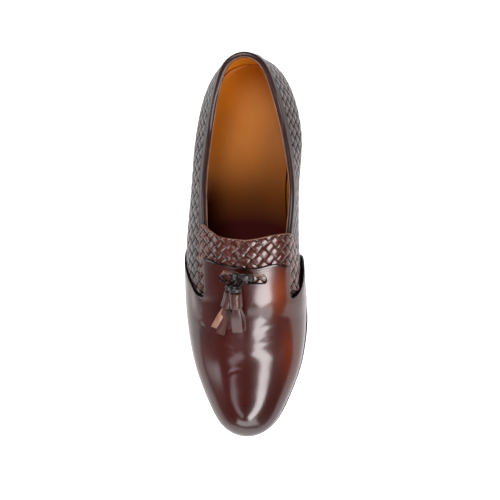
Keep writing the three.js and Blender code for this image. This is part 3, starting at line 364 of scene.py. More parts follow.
    def _read(self, table: np.ndarray, loop: np.ndarray, row: np.ndarray) -> np.ndarray:
        """Values of a table between its entries."""
        place = np.mod(loop, 2) * self.STEPS
        height = np.clip(row, 0, ROWS) * self.ROW_STEPS
        i = np.floor(place).astype(int)
        j = np.minimum(np.floor(height).astype(int), table.shape[1] - 2)
        a = (place - i)[..., None]
        b = (height - j)[..., None]
        i, k = i % (2 * self.STEPS), (i + 1) % (2 * self.STEPS)
        low = table[i, j] * (1 - a) + table[k, j] * a
        high = table[i, j + 1] * (1 - a) + table[k, j + 1] * a
        return low * (1 - b) + high * b

    def skin(self, loop: np.ndarray, row: np.ndarray, offset: np.ndarray | float = 0.0) -> np.ndarray:
        """Points at an offset from the surface.

        Args:
            loop: Places round the shoe: 0 to 1 up the medial side from toe to heel, to 2 back again.
            row: Rows up the shoe: 0 at the sole, 6 at the topline or shoulder, 10 at the ridge.
            offset: Distances out of the surface.

        Returns:
            The points, with one axis more than loop has.
        """
        loop, row = np.broadcast_arrays(loop, row)
        points = self._read(self.points, loop, row)
        normals = self._read(self.normals, loop, row)
        normals = normals / np.linalg.norm(normals, axis=-1, keepdims=True)
        return points + normals * np.broadcast_to(offset, loop.shape)[..., None]

    def station_at(self, side: Side, row: float, y: float) -> float:
        """The station where a row of one side reaches a place along the shoe."""
        stations = np.linspace(0, INSTEP_END, 200)
        loops = side_loop(side, stations)
        along = self.skin(loops, np.full(stations.shape, row))[:, 1]
        return float(np.interp(y, along, stations))

    def instep_height(self, x: float, y: float) -> float:
        """Height of the surface at a place on the instep seen from above."""
        ridge_x = float(self.skin(np.array(self.station_at(Side.MEDIAL, ROWS, y)), np.array(ROWS))[0])
        side = Side.MEDIAL if x > ridge_x else Side.LATERAL
        rows = np.linspace(SIDE_ROWS, ROWS, 14)
        points = []
        for row in rows:
            station = self.station_at(side, row, y)
            loop = side_loop(side, station)
            points.append(self.skin(np.array(loop), np.array(row)))
        outline = np.array(points)
        order = np.argsort(outline[:, 0])
        return float(np.interp(x, outline[order, 0], outline[order, 2]))

    def layer_edge(self, station: float, side: int, margin: float) -> np.ndarray:
        """A point of a flat layer's outline: the sole-edge line pushed outwards."""
        probe = 0.01
        ahead = self.feather(station + probe, side)
        back = self.feather(station - probe, side)
        if station < probe:
            back = self.feather(probe, -side)
        if station > 1 - probe:
            ahead = self.feather(1 - probe, -side)
        along = (ahead - back) / np.linalg.norm(ahead - back)
        return self.feather(station, side) + np.array([along[1], -along[0], 0]) * side * margin


class Bench:
    """The workbench: makes meshes from primitives and finishes them with modifiers."""

    @staticmethod
    def pick(*pieces: bpy.types.Object) -> None:
        """Select these pieces alone, the first one active."""
        bpy.ops.object.select_all(action="DESELECT")
        for piece in pieces:
            piece.select_set(True)
        bpy.context.view_layer.objects.active = pieces[0]

    @staticmethod
    def lay(name: str, points: np.ndarray) -> bpy.types.Object:
        """Lay a primitive grid over rows of points.

        Args:
            name: The piece's name.
            points: Points as rows by columns by 3.

        Returns:
            The new mesh object, at the origin.
        """
        rows, columns = points.shape[:2]
        bpy.ops.object.select_all(action="DESELECT")
        bpy.ops.mesh.primitive_grid_add(x_subdivisions=columns - 1, y_subdivisions=rows - 1, size=1)
        piece = bpy.context.object
        piece.name = name
        spots = np.empty(rows * columns * 3)
        piece.data.vertices.foreach_get("co", spots)
        spots = spots.reshape(-1, 3)
        column = np.rint((spots[:, 0] + 0.5) * (columns - 1)).astype(int)
        row = np.rint((spots[:, 1] + 0.5) * (rows - 1)).astype(int)
        piece.data.vertices.foreach_set("co", points[row, column].ravel())
        piece.data.update()
        return piece

    @staticmethod
    def points_of(piece: bpy.types.Object) -> np.ndarray:
        """The piece's points, one row each."""
        spots = np.empty(len(piece.data.vertices) * 3)
        piece.data.vertices.foreach_get("co", spots)
        return spots.reshape(-1, 3)

    @staticmethod
    def move_points(piece: bpy.types.Object, points: np.ndarray) -> None:
        """Move the piece's points to new places."""
        piece.data.vertices.foreach_set("co", points.ravel())
        piece.data.update()

    @staticmethod
    def normals_of(piece: bpy.types.Object) -> np.ndarray:
        """The normals at the piece's points."""
        return np.array([normal.vector[:] for normal in piece.data.vertex_normals])

    @classmethod
    def raise_skin(cls, piece: bpy.types.Object, offset: np.ndarray | float) -> None:
        """Push the piece's points out along their normals."""
        points = cls.points_of(piece)
        lift = np.broadcast_to(offset, (len(points),))[:, None]
        cls.move_points(piece, points + cls.normals_of(piece) * lift)

    @classmethod
    def edit(cls, piece: bpy.types.Object, *steps: Callable[[], object]) -> None:
        """Run edit-mode steps on the whole piece."""
        cls.pick(piece)
        bpy.ops.object.mode_set(mode="EDIT")
        bpy.ops.mesh.select_all(action="SELECT")
        for step in steps:
            step()
        bpy.ops.object.mode_set(mode="OBJECT")

    @classmethod
    def weld(cls, piece: bpy.types.Object, distance: float = 0.02 * MM) -> None:
        """Join points that coincide."""
        cls.edit(piece, lambda: bpy.ops.mesh.remove_doubles(threshold=distance))

    @classmethod
    def face_out(cls, piece: bpy.types.Object) -> None:
        """Turn every face of a closed piece outwards."""
        cls.edit(piece, lambda: bpy.ops.mesh.normals_make_consistent(inside=False))

    @classmethod
    def close_ends(cls, piece: bpy.types.Object) -> None:
        """Fill every open rim of a tube."""
        def rims() -> None:
            bpy.ops.mesh.select_all(action="DESELECT")
            bpy.ops.mesh.select_non_manifold(extend=False)
            bpy.ops.mesh.fill_holes(sides=0)

        cls.edit(piece, rims)

    @classmethod
    def modify(cls, piece: bpy.types.Object, kind: str, **values: object) -> None:
        """Add a modifier with these values and apply it."""
        cls.pick(piece)
        bpy.ops.object.modifier_add(type=kind)
        modifier = piece.modifiers[-1]
        for key, value in values.items():
            setattr(modifier, key, value)
        bpy.ops.object.modifier_apply(modifier=modifier.name)

    @classmethod
    def join(cls, name: str, pieces: Sequence[bpy.types.Object]) -> bpy.types.Object:
        """Join pieces into one."""
        cls.pick(*pieces)
        if len(pieces) > 1:
            bpy.ops.object.join()
        joined = bpy.context.view_layer.objects.active
        joined.name = name
        return joined

    @classmethod
    def tube(cls, name: str, rings: np.ndarray, closed: bool = False) -> bpy.types.Object:
        """A solid swept through rings of points.

        Args:
            name: The piece's name.
            rings: Rings by points by 3.
            closed: Whether the last ring meets the first.

        Returns:
            The closed mesh, its faces outwards.
        """
        rings = np.concatenate([rings, rings[:, :1]], axis=1)
        if closed:
            rings = np.concatenate([rings, rings[:1]], axis=0)
        piece = cls.lay(name, rings)
        cls.weld(piece, 0.002 * MM)
        if not closed:
            cls.close_ends(piece)
        cls.face_out(piece)
        return piece

    @classmethod
    def soften(cls, piece: bpy.types.Object, angle: float = 40.0) -> None:
        """Shade smooth, keeping edges sharper than an angle in degrees."""
        cls.pick(piece)
        bpy.ops.object.shade_smooth_by_angle(angle=math.radians(angle))

    @staticmethod
    def tag(piece: bpy.types.Object, name: str, values: np.ndarray) -> None:
        """Store a value at each point, for the material to read."""
        layer = piece.data.attributes.new(name=name, type="FLOAT", domain="POINT")
        layer.data.foreach_set("value", np.asarray(values, dtype=np.float32))


class EffectKit:
    """The shader node groups that the finishes share."""

    def __init__(self) -> None:
        """Build every group once."""
        self.grain = self._build_grain()
        self.mottle = self._build_mottle()
        self.striation = self._build_striation()
        self.glow = self._build_glow()

    @staticmethod
    def _group(name: str, inputs: dict[str, float], outputs: Sequence[str]) -> bpy.types.NodeTree:
        """Start a group with named number inputs and outputs."""
        group = bpy.data.node_groups.new(name, "ShaderNodeTree")
        for key, value in inputs.items():
            socket = group.interface.new_socket(key, in_out="INPUT", socket_type="NodeSocketFloat")
            socket.default_value = value
        for key in outputs:
            group.interface.new_socket(key, in_out="OUTPUT", socket_type="NodeSocketFloat")
        group.nodes.new("NodeGroupInput")
        group.nodes.new("NodeGroupOutput")
        return group

    @staticmethod
    def _ends(group: bpy.types.NodeTree) -> tuple[bpy.types.Node, bpy.types.Node]:
        """The group's input and output nodes."""
        return group.nodes["Group Input"], group.nodes["Group Output"]

    def _build_grain(self) -> bpy.types.NodeTree:
        """Fine pores and pebbles of calf leather, as a height."""
        group = self._group("calf_grain", {"Scale": 900.0, "Pores": 0.5}, ["Height"])
        start, end = self._ends(group)
        place = group.nodes.new("ShaderNodeTexCoord")
        cells = group.nodes.new("ShaderNodeTexVoronoi")
        cells.feature = "SMOOTH_F1"
        cloud = group.nodes.new("ShaderNodeTexNoise")
        cloud.inputs["Detail"].default_value = 3.0
        half = group.nodes.new("ShaderNodeMath")
        half.operation = "MULTIPLY"
        half.inputs[1].default_value = 0.45
        mix = group.nodes.new("ShaderNodeMix")
        group.links.new(place.outputs["Object"], cells.inputs["Vector"])
        group.links.new(place.outputs["Object"], cloud.inputs["Vector"])
        group.links.new(start.outputs["Scale"], cells.inputs["Scale"])
        group.links.new(start.outputs["Scale"], half.inputs[0])
        group.links.new(half.outputs[0], cloud.inputs["Scale"])
        group.links.new(start.outputs["Pores"], mix.inputs["Factor"])
        group.links.new(cloud.outputs["Fac"], mix.inputs["A"])
        group.links.new(cells.outputs["Distance"], mix.inputs["B"])
        group.links.new(mix.outputs["Result"], end.inputs["Height"])
        return group

    def _build_mottle(self) -> bpy.types.NodeTree:
        """Soft clouds of hand-rubbed dye, as a mask."""
        group = self._group("dye_mottle", {"Scale": 40.0, "Stretch": 1.0}, ["Mask"])
        start, end = self._ends(group)
        place = group.nodes.new("ShaderNodeTexCoord")
        scale = group.nodes.new("ShaderNodeCombineXYZ")
        mapping = group.nodes.new("ShaderNodeMapping")
        cloud = group.nodes.new("ShaderNodeTexNoise")
        cloud.inputs["Detail"].default_value = 4.0
        cloud.inputs["Distortion"].default_value = 0.4
        limits = group.nodes.new("ShaderNodeMapRange")
        limits.inputs["From Min"].default_value = 0.35
        limits.inputs["From Max"].default_value = 0.68
        scale.inputs["Y"].default_value = 1.0
        scale.inputs["Z"].default_value = 1.0
        group.links.new(start.outputs["Stretch"], scale.inputs["X"])
        group.links.new(scale.outputs["Vector"], mapping.inputs["Scale"])
        group.links.new(place.outputs["Object"], mapping.inputs["Vector"])
        group.links.new(mapping.outputs["Vector"], cloud.inputs["Vector"])
        group.links.new(start.outputs["Scale"], cloud.inputs["Scale"])
        group.links.new(cloud.outputs["Fac"], limits.inputs["Value"])
        group.links.new(limits.outputs["Result"], end.inputs["Mask"])
        return group

    def _build_striation(self) -> bpy.types.NodeTree:
        """Fine lines along a cut strip, read from its own UV map, as a height."""
        group = self._group("strip_lines", {"Along": 3.0, "Across": 26.0}, ["Height"])
        start, end = self._ends(group)
        place = group.nodes.new("ShaderNodeTexCoord")
        scale = group.nodes.new("ShaderNodeCombineXYZ")
        mapping = group.nodes.new("ShaderNodeMapping")
        cloud = group.nodes.new("ShaderNodeTexNoise")
        cloud.inputs["Scale"].default_value = 1.0
        cloud.inputs["Detail"].default_value = 2.0
        group.links.new(start.outputs["Along"], scale.inputs["X"])
        group.links.new(start.outputs["Across"], scale.inputs["Y"])
        group.links.new(scale.outputs["Vector"], mapping.inputs["Scale"])
        group.links.new(place.outputs["UV"], mapping.inputs["Vector"])
        group.links.new(mapping.outputs["Vector"], cloud.inputs["Vector"])
        group.links.new(cloud.outputs["Fac"], end.inputs["Height"])
        return group

    def _build_glow(self) -> bpy.types.NodeTree:
        """A soft round patch at a place on the shoe, as a mask."""
        group = bpy.data.node_groups.new("soft_colour_patch", "ShaderNodeTree")
        for key in ("Centre", "Size"):
            group.interface.new_socket(key, in_out="INPUT", socket_type="NodeSocketVector")
        group.interface.new_socket("Mask", in_out="OUTPUT", socket_type="NodeSocketFloat")
        start = group.nodes.new("NodeGroupInput")
        end = group.nodes.new("NodeGroupOutput")
        place = group.nodes.new("ShaderNodeTexCoord")
        move = group.nodes.new("ShaderNodeVectorMath")
        move.operation = "SUBTRACT"
        shrink = group.nodes.new("ShaderNodeVectorMath")
        shrink.operation = "DIVIDE"
        ball = group.nodes.new("ShaderNodeTexGradient")
        ball.gradient_type = "QUADRATIC_SPHERE"
        group.links.new(place.outputs["Object"], move.inputs[0])
        group.links.new(start.outputs["Centre"], move.inputs[1])
        group.links.new(move.outputs["Vector"], shrink.inputs[0])
        group.links.new(start.outputs["Size"], shrink.inputs[1])
        group.links.new(shrink.outputs["Vector"], ball.inputs["Vector"])
        group.links.new(ball.outputs["Fac"], end.inputs["Mask"])
        return group


Colour = tuple[float, float, float]


@dataclass(frozen=True)
class Patch:
    """A soft round place painted another colour: painted light and a darker toe tip on the vamp, painted shade
    in the lining and insole.
    """

    centre: Colour
    size: Colour
    colour: Colour
    strength: float


@dataclass(frozen=True)
class Leather:
    """A leather finish: dye, polish and relief."""

    name: str
    colour: Colour
    shade: Colour
    rim: Colour
    roughness: float
    rough_shade: float
    coat: float
    coat_roughness: float
    grain_scale: float = 1500
    grain_depth: float = 0.02 * MM
    mottle_scale: float = 60
    lines: float = 0.0
    rim_reach: float = 2.5 * MM
    patches: tuple[Patch, ...] = ()

    def build(self, kit: EffectKit) -> bpy.types.Material:
        """Build the material.

        Args:
            kit: The shared shader groups.

        Returns:
            The finished material.
        """
        material = bpy.data.materials.new(self.name)
        material.use_nodes = True
        tree = material.node_tree
        leather = tree.nodes["Principled BSDF"]
        leather.inputs["Coat Weight"].default_value = self.coat
        leather.inputs["Coat Roughness"].default_value = self.coat_roughness
        leather.inputs["Coat IOR"].default_value = 1.5
        leather.inputs["Specular IOR Level"].default_value = 0.18
        leather.inputs["IOR"].default_value = 1.5
        colour = self._dye(tree, kit)
        tree.links.new(colour, leather.inputs["Base Color"])
        mottle = self._place(tree, kit.mottle, {"Scale": self.mottle_scale * 1.7, "Stretch": 1.0})
        rough = tree.nodes.new("ShaderNodeMapRange")
        rough.inputs["To Min"].default_value = self.roughness
        rough.inputs["To Max"].default_value = self.rough_shade
        tree.links.new(mottle.outputs["Mask"], rough.inputs["Value"])
        tree.links.new(rough.outputs["Result"], leather.inputs["Roughness"])
        self._relief(tree, kit, leather)
        return material

    @staticmethod
    def _place(tree: bpy.types.NodeTree, group: bpy.types.NodeTree, values: dict) -> bpy.types.Node:
        """Put a shared group in the material with its own values."""
        node = tree.nodes.new("ShaderNodeGroup")
        node.node_tree = group
        for key, value in values.items():
            node.inputs[key].default_value = value
        return node

    @staticmethod
    def _blend(
        tree: bpy.types.NodeTree, mask: bpy.types.NodeSocket, low: object, high: object
    ) -> bpy.types.NodeSocket:
        """Mix two colours, each a plain colour or a socket, by a mask."""
        mix = tree.nodes.new("ShaderNodeMix")
        mix.data_type = "RGBA"
        tree.links.new(mask, mix.inputs["Factor"])
        for value, socket in ((low, mix.inputs[6]), (high, mix.inputs[7])):
            if isinstance(value, tuple):
                socket.default_value = (*value, 1)
            else:
                tree.links.new(value, socket)
        return mix.outputs[2]

    def _dye(self, tree: bpy.types.NodeTree, kit: EffectKit) -> bpy.types.NodeSocket:
        """The colour: two dyes in clouds, soft patches of painted light, painted shade and darker tone, and dark
        cut edges.
        """
        mottle = self._place(tree, kit.mottle, {"Scale": self.mottle_scale, "Stretch": 1.6})
        colour = self._blend(tree, mottle.outputs["Mask"], self.colour, self.shade)
        for patch in self.patches:
            glow = self._place(tree, kit.glow, {"Centre": patch.centre, "Size": patch.size})
            gain = tree.nodes.new("ShaderNodeMath")
            gain.operation = "MULTIPLY"
            gain.use_clamp = True
            gain.inputs[1].default_value = patch.strength
            tree.links.new(glow.outputs["Mask"], gain.inputs[0])
            colour = self._blend(tree, gain.outputs[0], colour, patch.colour)
        edge = tree.nodes.new("ShaderNodeAttribute")
        edge.attribute_name = "rim"
        near = tree.nodes.new("ShaderNodeMapRange")
        near.interpolation_type = "SMOOTHSTEP"
        near.inputs["From Min"].default_value = 0.0
        near.inputs["From Max"].default_value = self.rim_reach
        near.inputs["To Min"].default_value = 1.0
        near.inputs["To Max"].default_value = 0.0
        tree.links.new(edge.outputs["Fac"], near.inputs["Value"])
        return self._blend(tree, near.outputs["Result"], colour, self.rim)

    def _relief(
        self, tree: bpy.types.NodeTree, kit: EffectKit, leather: bpy.types.Node
    ) -> None:
        """The grain, and the lines of a cut strip, as bump."""
        grain = self._place(tree, kit.grain, {"Scale": self.grain_scale, "Pores": 0.5})
        bump = tree.nodes.new("ShaderNodeBump")
        bump.inputs["Strength"].default_value = 1.0
        bump.inputs["Distance"].default_value = self.grain_depth
        tree.links.new(grain.outputs["Height"], bump.inputs["Height"])
        if self.lines > 0:
            lines = self._place(tree, kit.striation, {"Along": 2.0, "Across": 22.0})
            strip = tree.nodes.new("ShaderNodeBump")
            strip.inputs["Strength"].default_value = 1.0
            strip.inputs["Distance"].default_value = self.lines
            tree.links.new(lines.outputs["Height"], strip.inputs["Height"])
            tree.links.new(bump.outputs["Normal"], strip.inputs["Normal"])
            bump = strip
        tree.links.new(bump.outputs["Normal"], leather.inputs["Normal"])


POLISHED_CALF = Leather(
    name="polished_calf",
    colour=(0.052, 0.0042, 0.0016),
    shade=(0.030, 0.0026, 0.0012),
    rim=(0.006, 0.003, 0.002),
    roughness=0.30,
    rough_shade=0.40,
    coat=1.0,
    coat_roughness=0.17,
    grain_depth=0.010 * MM,
    mottle_scale=22,
    rim_reach=1.6 * MM,
    patches=(
        # painted light: the medial tab and the medial side of the toe box, which face the main box, are painted
        # a lighter orange-brown
        Patch((0.028, -0.036, 0.070), (0.018, 0.036, 0.030), (0.20, 0.034, 0.003), 1.3),
        Patch((0.034, -0.080, 0.040), (0.014, 0.050, 0.030), (0.11, 0.016, 0.003), 1.1),
        # darker at the toe's tip, towards the sole
        Patch((0.0, -0.150, 0.020), (0.060, 0.040, 0.040), (0.010, 0.004, 0.004), 1.5),
    ),
)
PLAITED_CALF = Leather(
    name="plaited_calf",
    colour=(0.036, 0.010, 0.008),
    shade=(0.018, 0.007, 0.008),
    rim=(0.010, 0.004, 0.003),
    roughness=0.30,
    rough_shade=0.44,
    coat=0.7,
    coat_roughness=0.16,
    grain_depth=0.015 * MM,
    mottle_scale=50,
    lines=0.10 * MM,
    rim_reach=0.5 * MM,
)
TONGUE_CALF = Leather(
    name="tongue_calf",
    colour=(0.080, 0.015, 0.007),
    shade=(0.042, 0.008, 0.005),
    rim=(0.012, 0.004, 0.003),
    roughness=0.26,
    rough_shade=0.38,
    coat=0.9,
    coat_roughness=0.12,
    grain_depth=0.015 * MM,
    mottle_scale=50,
    lines=0.10 * MM,
    rim_reach=0.5 * MM,
)
BINDING_CALF = Leather(
    name="binding_calf",
    colour=(0.034, 0.010, 0.007),
    shade=(0.018, 0.006, 0.005),
    rim=(0.008, 0.003, 0.002),
    roughness=0.34,
    rough_shade=0.46,
    coat=0.4,
    coat_roughness=0.2,
)
EDGE_PIPING = Leather(
    name="edge_piping",
    colour=(0.30, 0.145, 0.090),
    shade=(0.17, 0.080, 0.050),
    rim=(0.11, 0.05, 0.032),
    roughness=0.4,
    rough_shade=0.5,
    coat=0.3,
    coat_roughness=0.25,
    grain_scale=1800,
    mottle_scale=90,
)
LINING = Leather(
    name="lining_leather",
    colour=(0.60, 0.21, 0.012),
    shade=(0.54, 0.18, 0.009),
    rim=(0.40, 0.13, 0.015),
    roughness=0.5,
    rough_shade=0.6,
    coat=0.1,
    coat_roughness=0.4,
    grain_scale=1200,
    grain_depth=0.03 * MM,
    mottle_scale=30,
    patches=(
        # painted shade: the lining is darkened towards the front, deep inside the shoe where the vamp shades it
        Patch((0.0, -0.050, 0.030), (0.200, 0.170, 0.200), (0.050, 0.0015, 0.001), 2.3),
    ),
)
INSOLE = Leather(
    name="insole_leather",
    colour=(0.48, 0.155, 0.005),
    shade=(0.43, 0.135, 0.004),
    rim=(0.30, 0.10, 0.010),
    roughness=0.5,
    rough_shade=0.6,
    coat=0.1,
    coat_roughness=0.4,
    grain_scale=1200,
    grain_depth=0.03 * MM,
    mottle_scale=26,
    patches=(
        # painted shade: the insole is darkened from the heel towards the toe, deep inside the shoe under the
        # vamp
        Patch((0.0, -0.040, 0.020), (0.200, 0.170, 0.200), (0.060, 0.0015, 0.001), 2.4),
    ),
)
SOLE_LEATHER = Leather(
    name="sole_leather",
    colour=(0.012, 0.007, 0.005),
    shade=(0.020, 0.011, 0.008),
    rim=(0.008, 0.005, 0.004),
    roughness=0.42,
    rough_shade=0.55,
    coat=0.3,
    coat_roughness=0.25,
    grain_scale=900,
    grain_depth=0.03 * MM,
)
HEEL_RUBBER = Leather(
    name="heel_rubber",
    colour=(0.010, 0.010, 0.010),
    shade=(0.016, 0.015, 0.014),
    rim=(0.012, 0.012, 0.012),
    roughness=0.7,
    rough_shade=0.85,
    coat=0.0,
    coat_roughness=0.5,
    grain_scale=700,
    grain_depth=0.06 * MM,
    mottle_scale=80,
)
TASSEL_LEATHER = Leather(
    name="tassel_leather",
    colour=(0.062, 0.014, 0.008),
    shade=(0.034, 0.008, 0.006),
    rim=(0.16, 0.055, 0.03),
    roughness=0.34,
    rough_shade=0.46,
    coat=0.55,
    coat_roughness=0.24,
    grain_depth=0.012 * MM,
    rim_reach=0.25 * MM,
)
# painted shade: near-black leather for the lace, the knots and the thongs, which lie in the shade of the lace
# and the tassels
SHADED_KNOT_LEATHER = Leather(
    name="knot_leather_painted_shade",
    colour=(0.008, 0.005, 0.005),
    shade=(0.014, 0.007, 0.006),
    rim=(0.010, 0.006, 0.005),
    roughness=0.3,
    rough_shade=0.4,
    coat=0.5,
    coat_roughness=0.26,
)
THREAD = Leather(
    name="waxed_thread",
    colour=(0.020, 0.010, 0.008),
    shade=(0.040, 0.020, 0.015),
    rim=(0.020, 0.010, 0.008),
    roughness=0.4,
    rough_shade=0.6,
    coat=0.3,
    coat_roughness=0.3,
    grain_scale=4000,
    grain_depth=0.03 * MM,
    mottle_scale=200,
)


class Workshop:
    """Holds the last, the finishes and the pieces made so far."""

    def __init__(self) -> None:
        """Set up the last and every finish."""
        self.sizes = ShoeSizes()
        self.last = Last(self.sizes)
        self.kit = EffectKit()
        self.finishes: dict[str, bpy.types.Material] = {}

    def finish(self, leather: Leather) -> bpy.types.Material:
        """The material of a finish, built once."""
        if leather.name not in self.finishes:
            self.finishes[leather.name] = leather.build(self.kit)
        return self.finishes[leather.name]

    def deliver(
        self,
        piece: bpy.types.Object,
        leather: Leather,
        slot: Slot,
        nodes: Sequence[str],
        angle: float = 40.0,
    ) -> bpy.types.Object:
        """Dress a finished piece and hand it to the frame.

        Args:
            piece: The mesh object, at the origin.
            leather: Its finish.
            slot: The record's material slot; not used.
            nodes: The CAD nodes that it stands for.
            angle: Edges sharper than this many degrees stay sharp.

        Returns:
            The same piece.
        """
        Bench.soften(piece, angle)
        if "rim" not in piece.data.attributes:
            Bench.tag(piece, "rim", np.ones(len(piece.data.vertices)))
        piece.data.materials.clear()
        piece.data.materials.append(self.finish(leather))
        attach(piece, "root")
        if nodes:
            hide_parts(*nodes)
        log.info("%s: %d faces, %s", piece.name, len(piece.data.polygons), leather.name)
        return piece


def open_edge(piece: bpy.types.Object) -> list[int]:
    """Points on the open edges of a sheet, by number."""
    uses: dict[tuple[int, int], int] = {}
    for face in piece.data.polygons:
        for edge in face.edge_keys:
            uses[edge] = uses.get(edge, 0) + 1
    return sorted({index for edge, count in uses.items() if count == 1 for index in edge})


def rim_distance(piece: bpy.types.Object, keep: Callable[[np.ndarray], np.ndarray]) -> np.ndarray:
    """Distance of each point of an open sheet to its cut edge.

    Args:
        piece: The open mesh.
        keep: Tells, for points, which of them can be on the cut edge.

    Returns:
        One distance for each point.
    """
    border = open_edge(piece)
    points = Bench.points_of(piece)
    border = [index for index, kept in zip(border, keep(points[border])) if kept]
    tree = KDTree(len(border))
    for place, index in enumerate(border):
        tree.insert(points[index], place)
    tree.balance()
    return np.array([tree.find(point)[2] for point in points])


@dataclass
class Vamp:
    """The smooth front of the shoe with its tab, wings, slots and seams."""

    workshop: Workshop
    lift_start: float = -0.182
    lift_end: float = -0.130
    lift_centre: float = 0.033
    lift_half: float = 0.39
    lift_fade: float = 0.075
    instep_width: float = 34 * MM
    corner: float = 2.6 * MM
    slot_centres: tuple[EdgePoint, ...] = (EdgePoint(-0.090, -0.0690), EdgePoint(0.112, -0.0745))
    slot_width: float = 0.148
    slot_height: float = 0.0200
    columns: int = 240
    toe_middle: tuple[float, float] = (0.0, -0.1195)
    toe_reach: float = 15 * MM
    toe_floor: float = 30 * MM
    meet_along: float = -0.103

    def _row_samples(self) -> np.ndarray:
        """Rows of the sheet from the sole to the ridge, closest at the shoulder."""
        low = np.linspace(0, SIDE_ROWS - 1, 44)
        middle = np.linspace(SIDE_ROWS - 1, SIDE_ROWS, 8)[1:]
        high = np.linspace(SIDE_ROWS, ROWS, 38)[1:]
        return np.concatenate([low, middle, high])

    def wing_station(self, side: Side, row: float) -> float:
        """Station of the sheet's rear edge at a row, on one side."""
        edge = WINGS[side]
        y = curve_through([point.across for point in edge], [point.along for point in edge], row)
        meet = smooth((row - SIDE_ROWS) / INSTEP_ROWS)
        y += (self.meet_along - y) * float(meet)
        return self.workshop.last.station_at(side, row, y * self.workshop.sizes.length)

    def tab_station(self, side: Side, row: float) -> float:
        """Station of the tab's rear edge at a row, on one side, with a rounded corner."""
        last, sizes = self.workshop.last, self.workshop.sizes
        across = [point.across * sizes.ball_width for point in TAB_EDGE]
        along = [point.along * sizes.length for point in TAB_EDGE]
        y = along[3]
        for _ in range(8):
            station = last.station_at(side, row, y)
            loop = side_loop(side, station)
            x = float(last.skin(np.array(loop), np.array(row))[0])
            y = curve_through(across, along, x)
        depth = (row - SIDE_ROWS) / INSTEP_ROWS * self.instep_width
        if depth < self.corner:
            y -= self.corner - math.sqrt(self.corner**2 - (self.corner - depth) ** 2)
        return last.station_at(side, row, y)

    def _front(self) -> np.ndarray:
        """Points of the front, from the lateral wing round the toe to the medial wing."""
        last = self.workshop.last
        rows = []
        for row in self._row_samples():
            lateral = self.wing_station(Side.LATERAL, row)
            medial = self.wing_station(Side.MEDIAL, row)
            share = np.linspace(-1, 1, self.columns + 1)
            loops = np.where(share < 0, share * lateral, share * medial)
            rows.append(last.skin(loops, np.full(loops.shape, row)))
        return np.array(rows)

    def _tab(self, side: Side) -> np.ndarray:
        """Points of one half of the tab."""
        last = self.workshop.last
        rows = []
        for row in self._row_samples():
            if row < SIDE_ROWS:
                continue
            start = self.wing_station(side, row)
            stations = np.linspace(start, self.tab_station(side, row), 26)
            loops = side_loop(side, stations)
            rows.append(last.skin(loops, np.full(loops.shape, row)))
        return np.array(rows)

    def lift(self, points: np.ndarray) -> np.ndarray:
        """How far the sheet stands over the upper, because the tab lies on the tongue."""
        sizes = self.workshop.sizes
        along = points[:, 1] / sizes.length
        across = np.abs(points[:, 0] / sizes.ball_width - self.lift_centre)
        forward = smooth((along - self.lift_start) / (self.lift_end - self.lift_start))
        return (sizes.gap + sizes.overlay) * forward * (1 - smooth((across - self.lift_half) / self.lift_fade))

    def slot_outline(self, centre: EdgePoint, grow: float = 0.0, steps: int = 14) -> np.ndarray:
        """Outline of a slot seen from above."""
        sizes = self.workshop.sizes
        radius = self.slot_height * sizes.length / 2 + grow
        half = self.slot_width * sizes.ball_width / 2 + grow - radius
        middle = np.array([centre.across * sizes.ball_width, centre.along * sizes.length])
        angles = np.linspace(-math.pi / 2, math.pi / 2, steps)
        arc = np.stack([np.cos(angles), np.sin(angles)], axis=1) * radius
        right = arc + [half, 0]
        left = -arc - [half, 0]
        return np.vstack([right, left]) + middle

    def _cut_slots(self, piece: bpy.types.Object) -> None:
        """Cut the two slots and round their rims."""
        for centre in self.slot_centres:
            outline = self.slot_outline(centre)
            mesh = piece.data
            bpy.context.view_layer.objects.active = piece
            for vertex in mesh.vertices:
                vertex.select = False
            for edge in mesh.edges:
                edge.select = False
            for face in mesh.polygons:
                face.select = inside_outline(face.center[:2], outline)
            Bench.pick(piece)
            bpy.ops.object.mode_set(mode="EDIT")
            bpy.ops.mesh.select_mode(type="FACE")
            bpy.ops.mesh.delete(type="FACE")
            bpy.ops.mesh.select_mode(type="VERT")
            bpy.ops.object.mode_set(mode="OBJECT")
            self._snap_border(piece, outline)

    @staticmethod
    def _snap_border(piece: bpy.types.Object, outline: np.ndarray) -> None:
        """Draw the points of a fresh hole onto its outline."""
        dense = resample(np.vstack([outline, outline[:1]]), 240)
        points = Bench.points_of(piece)
        for index in open_edge(piece):
            gaps = np.linalg.norm(dense - points[index, :2], axis=1)
            nearest = int(np.argmin(gaps))
            if gaps[nearest] < SNAP_REACH:
                points[index, :2] = dense[nearest]
        Bench.move_points(piece, points)

    def crease(self, points: np.ndarray) -> np.ndarray:
        """Depth of the soft walking creases over the ball, at listed places."""
        creases = (
            Crease((-0.026, -0.086), (0.032, -0.080), 0.42 * MM, 8.0 * MM),
            Crease((-0.024, -0.066), (-0.003, -0.071), 0.13 * MM, 1.7 * MM),
            Crease((-0.023, -0.074), (-0.006, -0.079), 0.12 * MM, 1.6 * MM),
            Crease((0.008, -0.064), (0.024, -0.056), 0.13 * MM, 1.7 * MM),
            Crease((-0.013, -0.097), (-0.001, -0.093), 0.11 * MM, 1.5 * MM),
            Crease((0.006, -0.074), (0.030, -0.069), 0.12 * MM, 1.8 * MM),
            Crease((0.024, -0.050), (0.040, -0.058), 0.16 * MM, 1.8 * MM),
            Crease((-0.040, -0.052), (-0.026, -0.061), 0.16 * MM, 2.0 * MM),
        )
        total = np.zeros(len(points))
        for line in creases:
            total += line.depth_at(points)
        return total

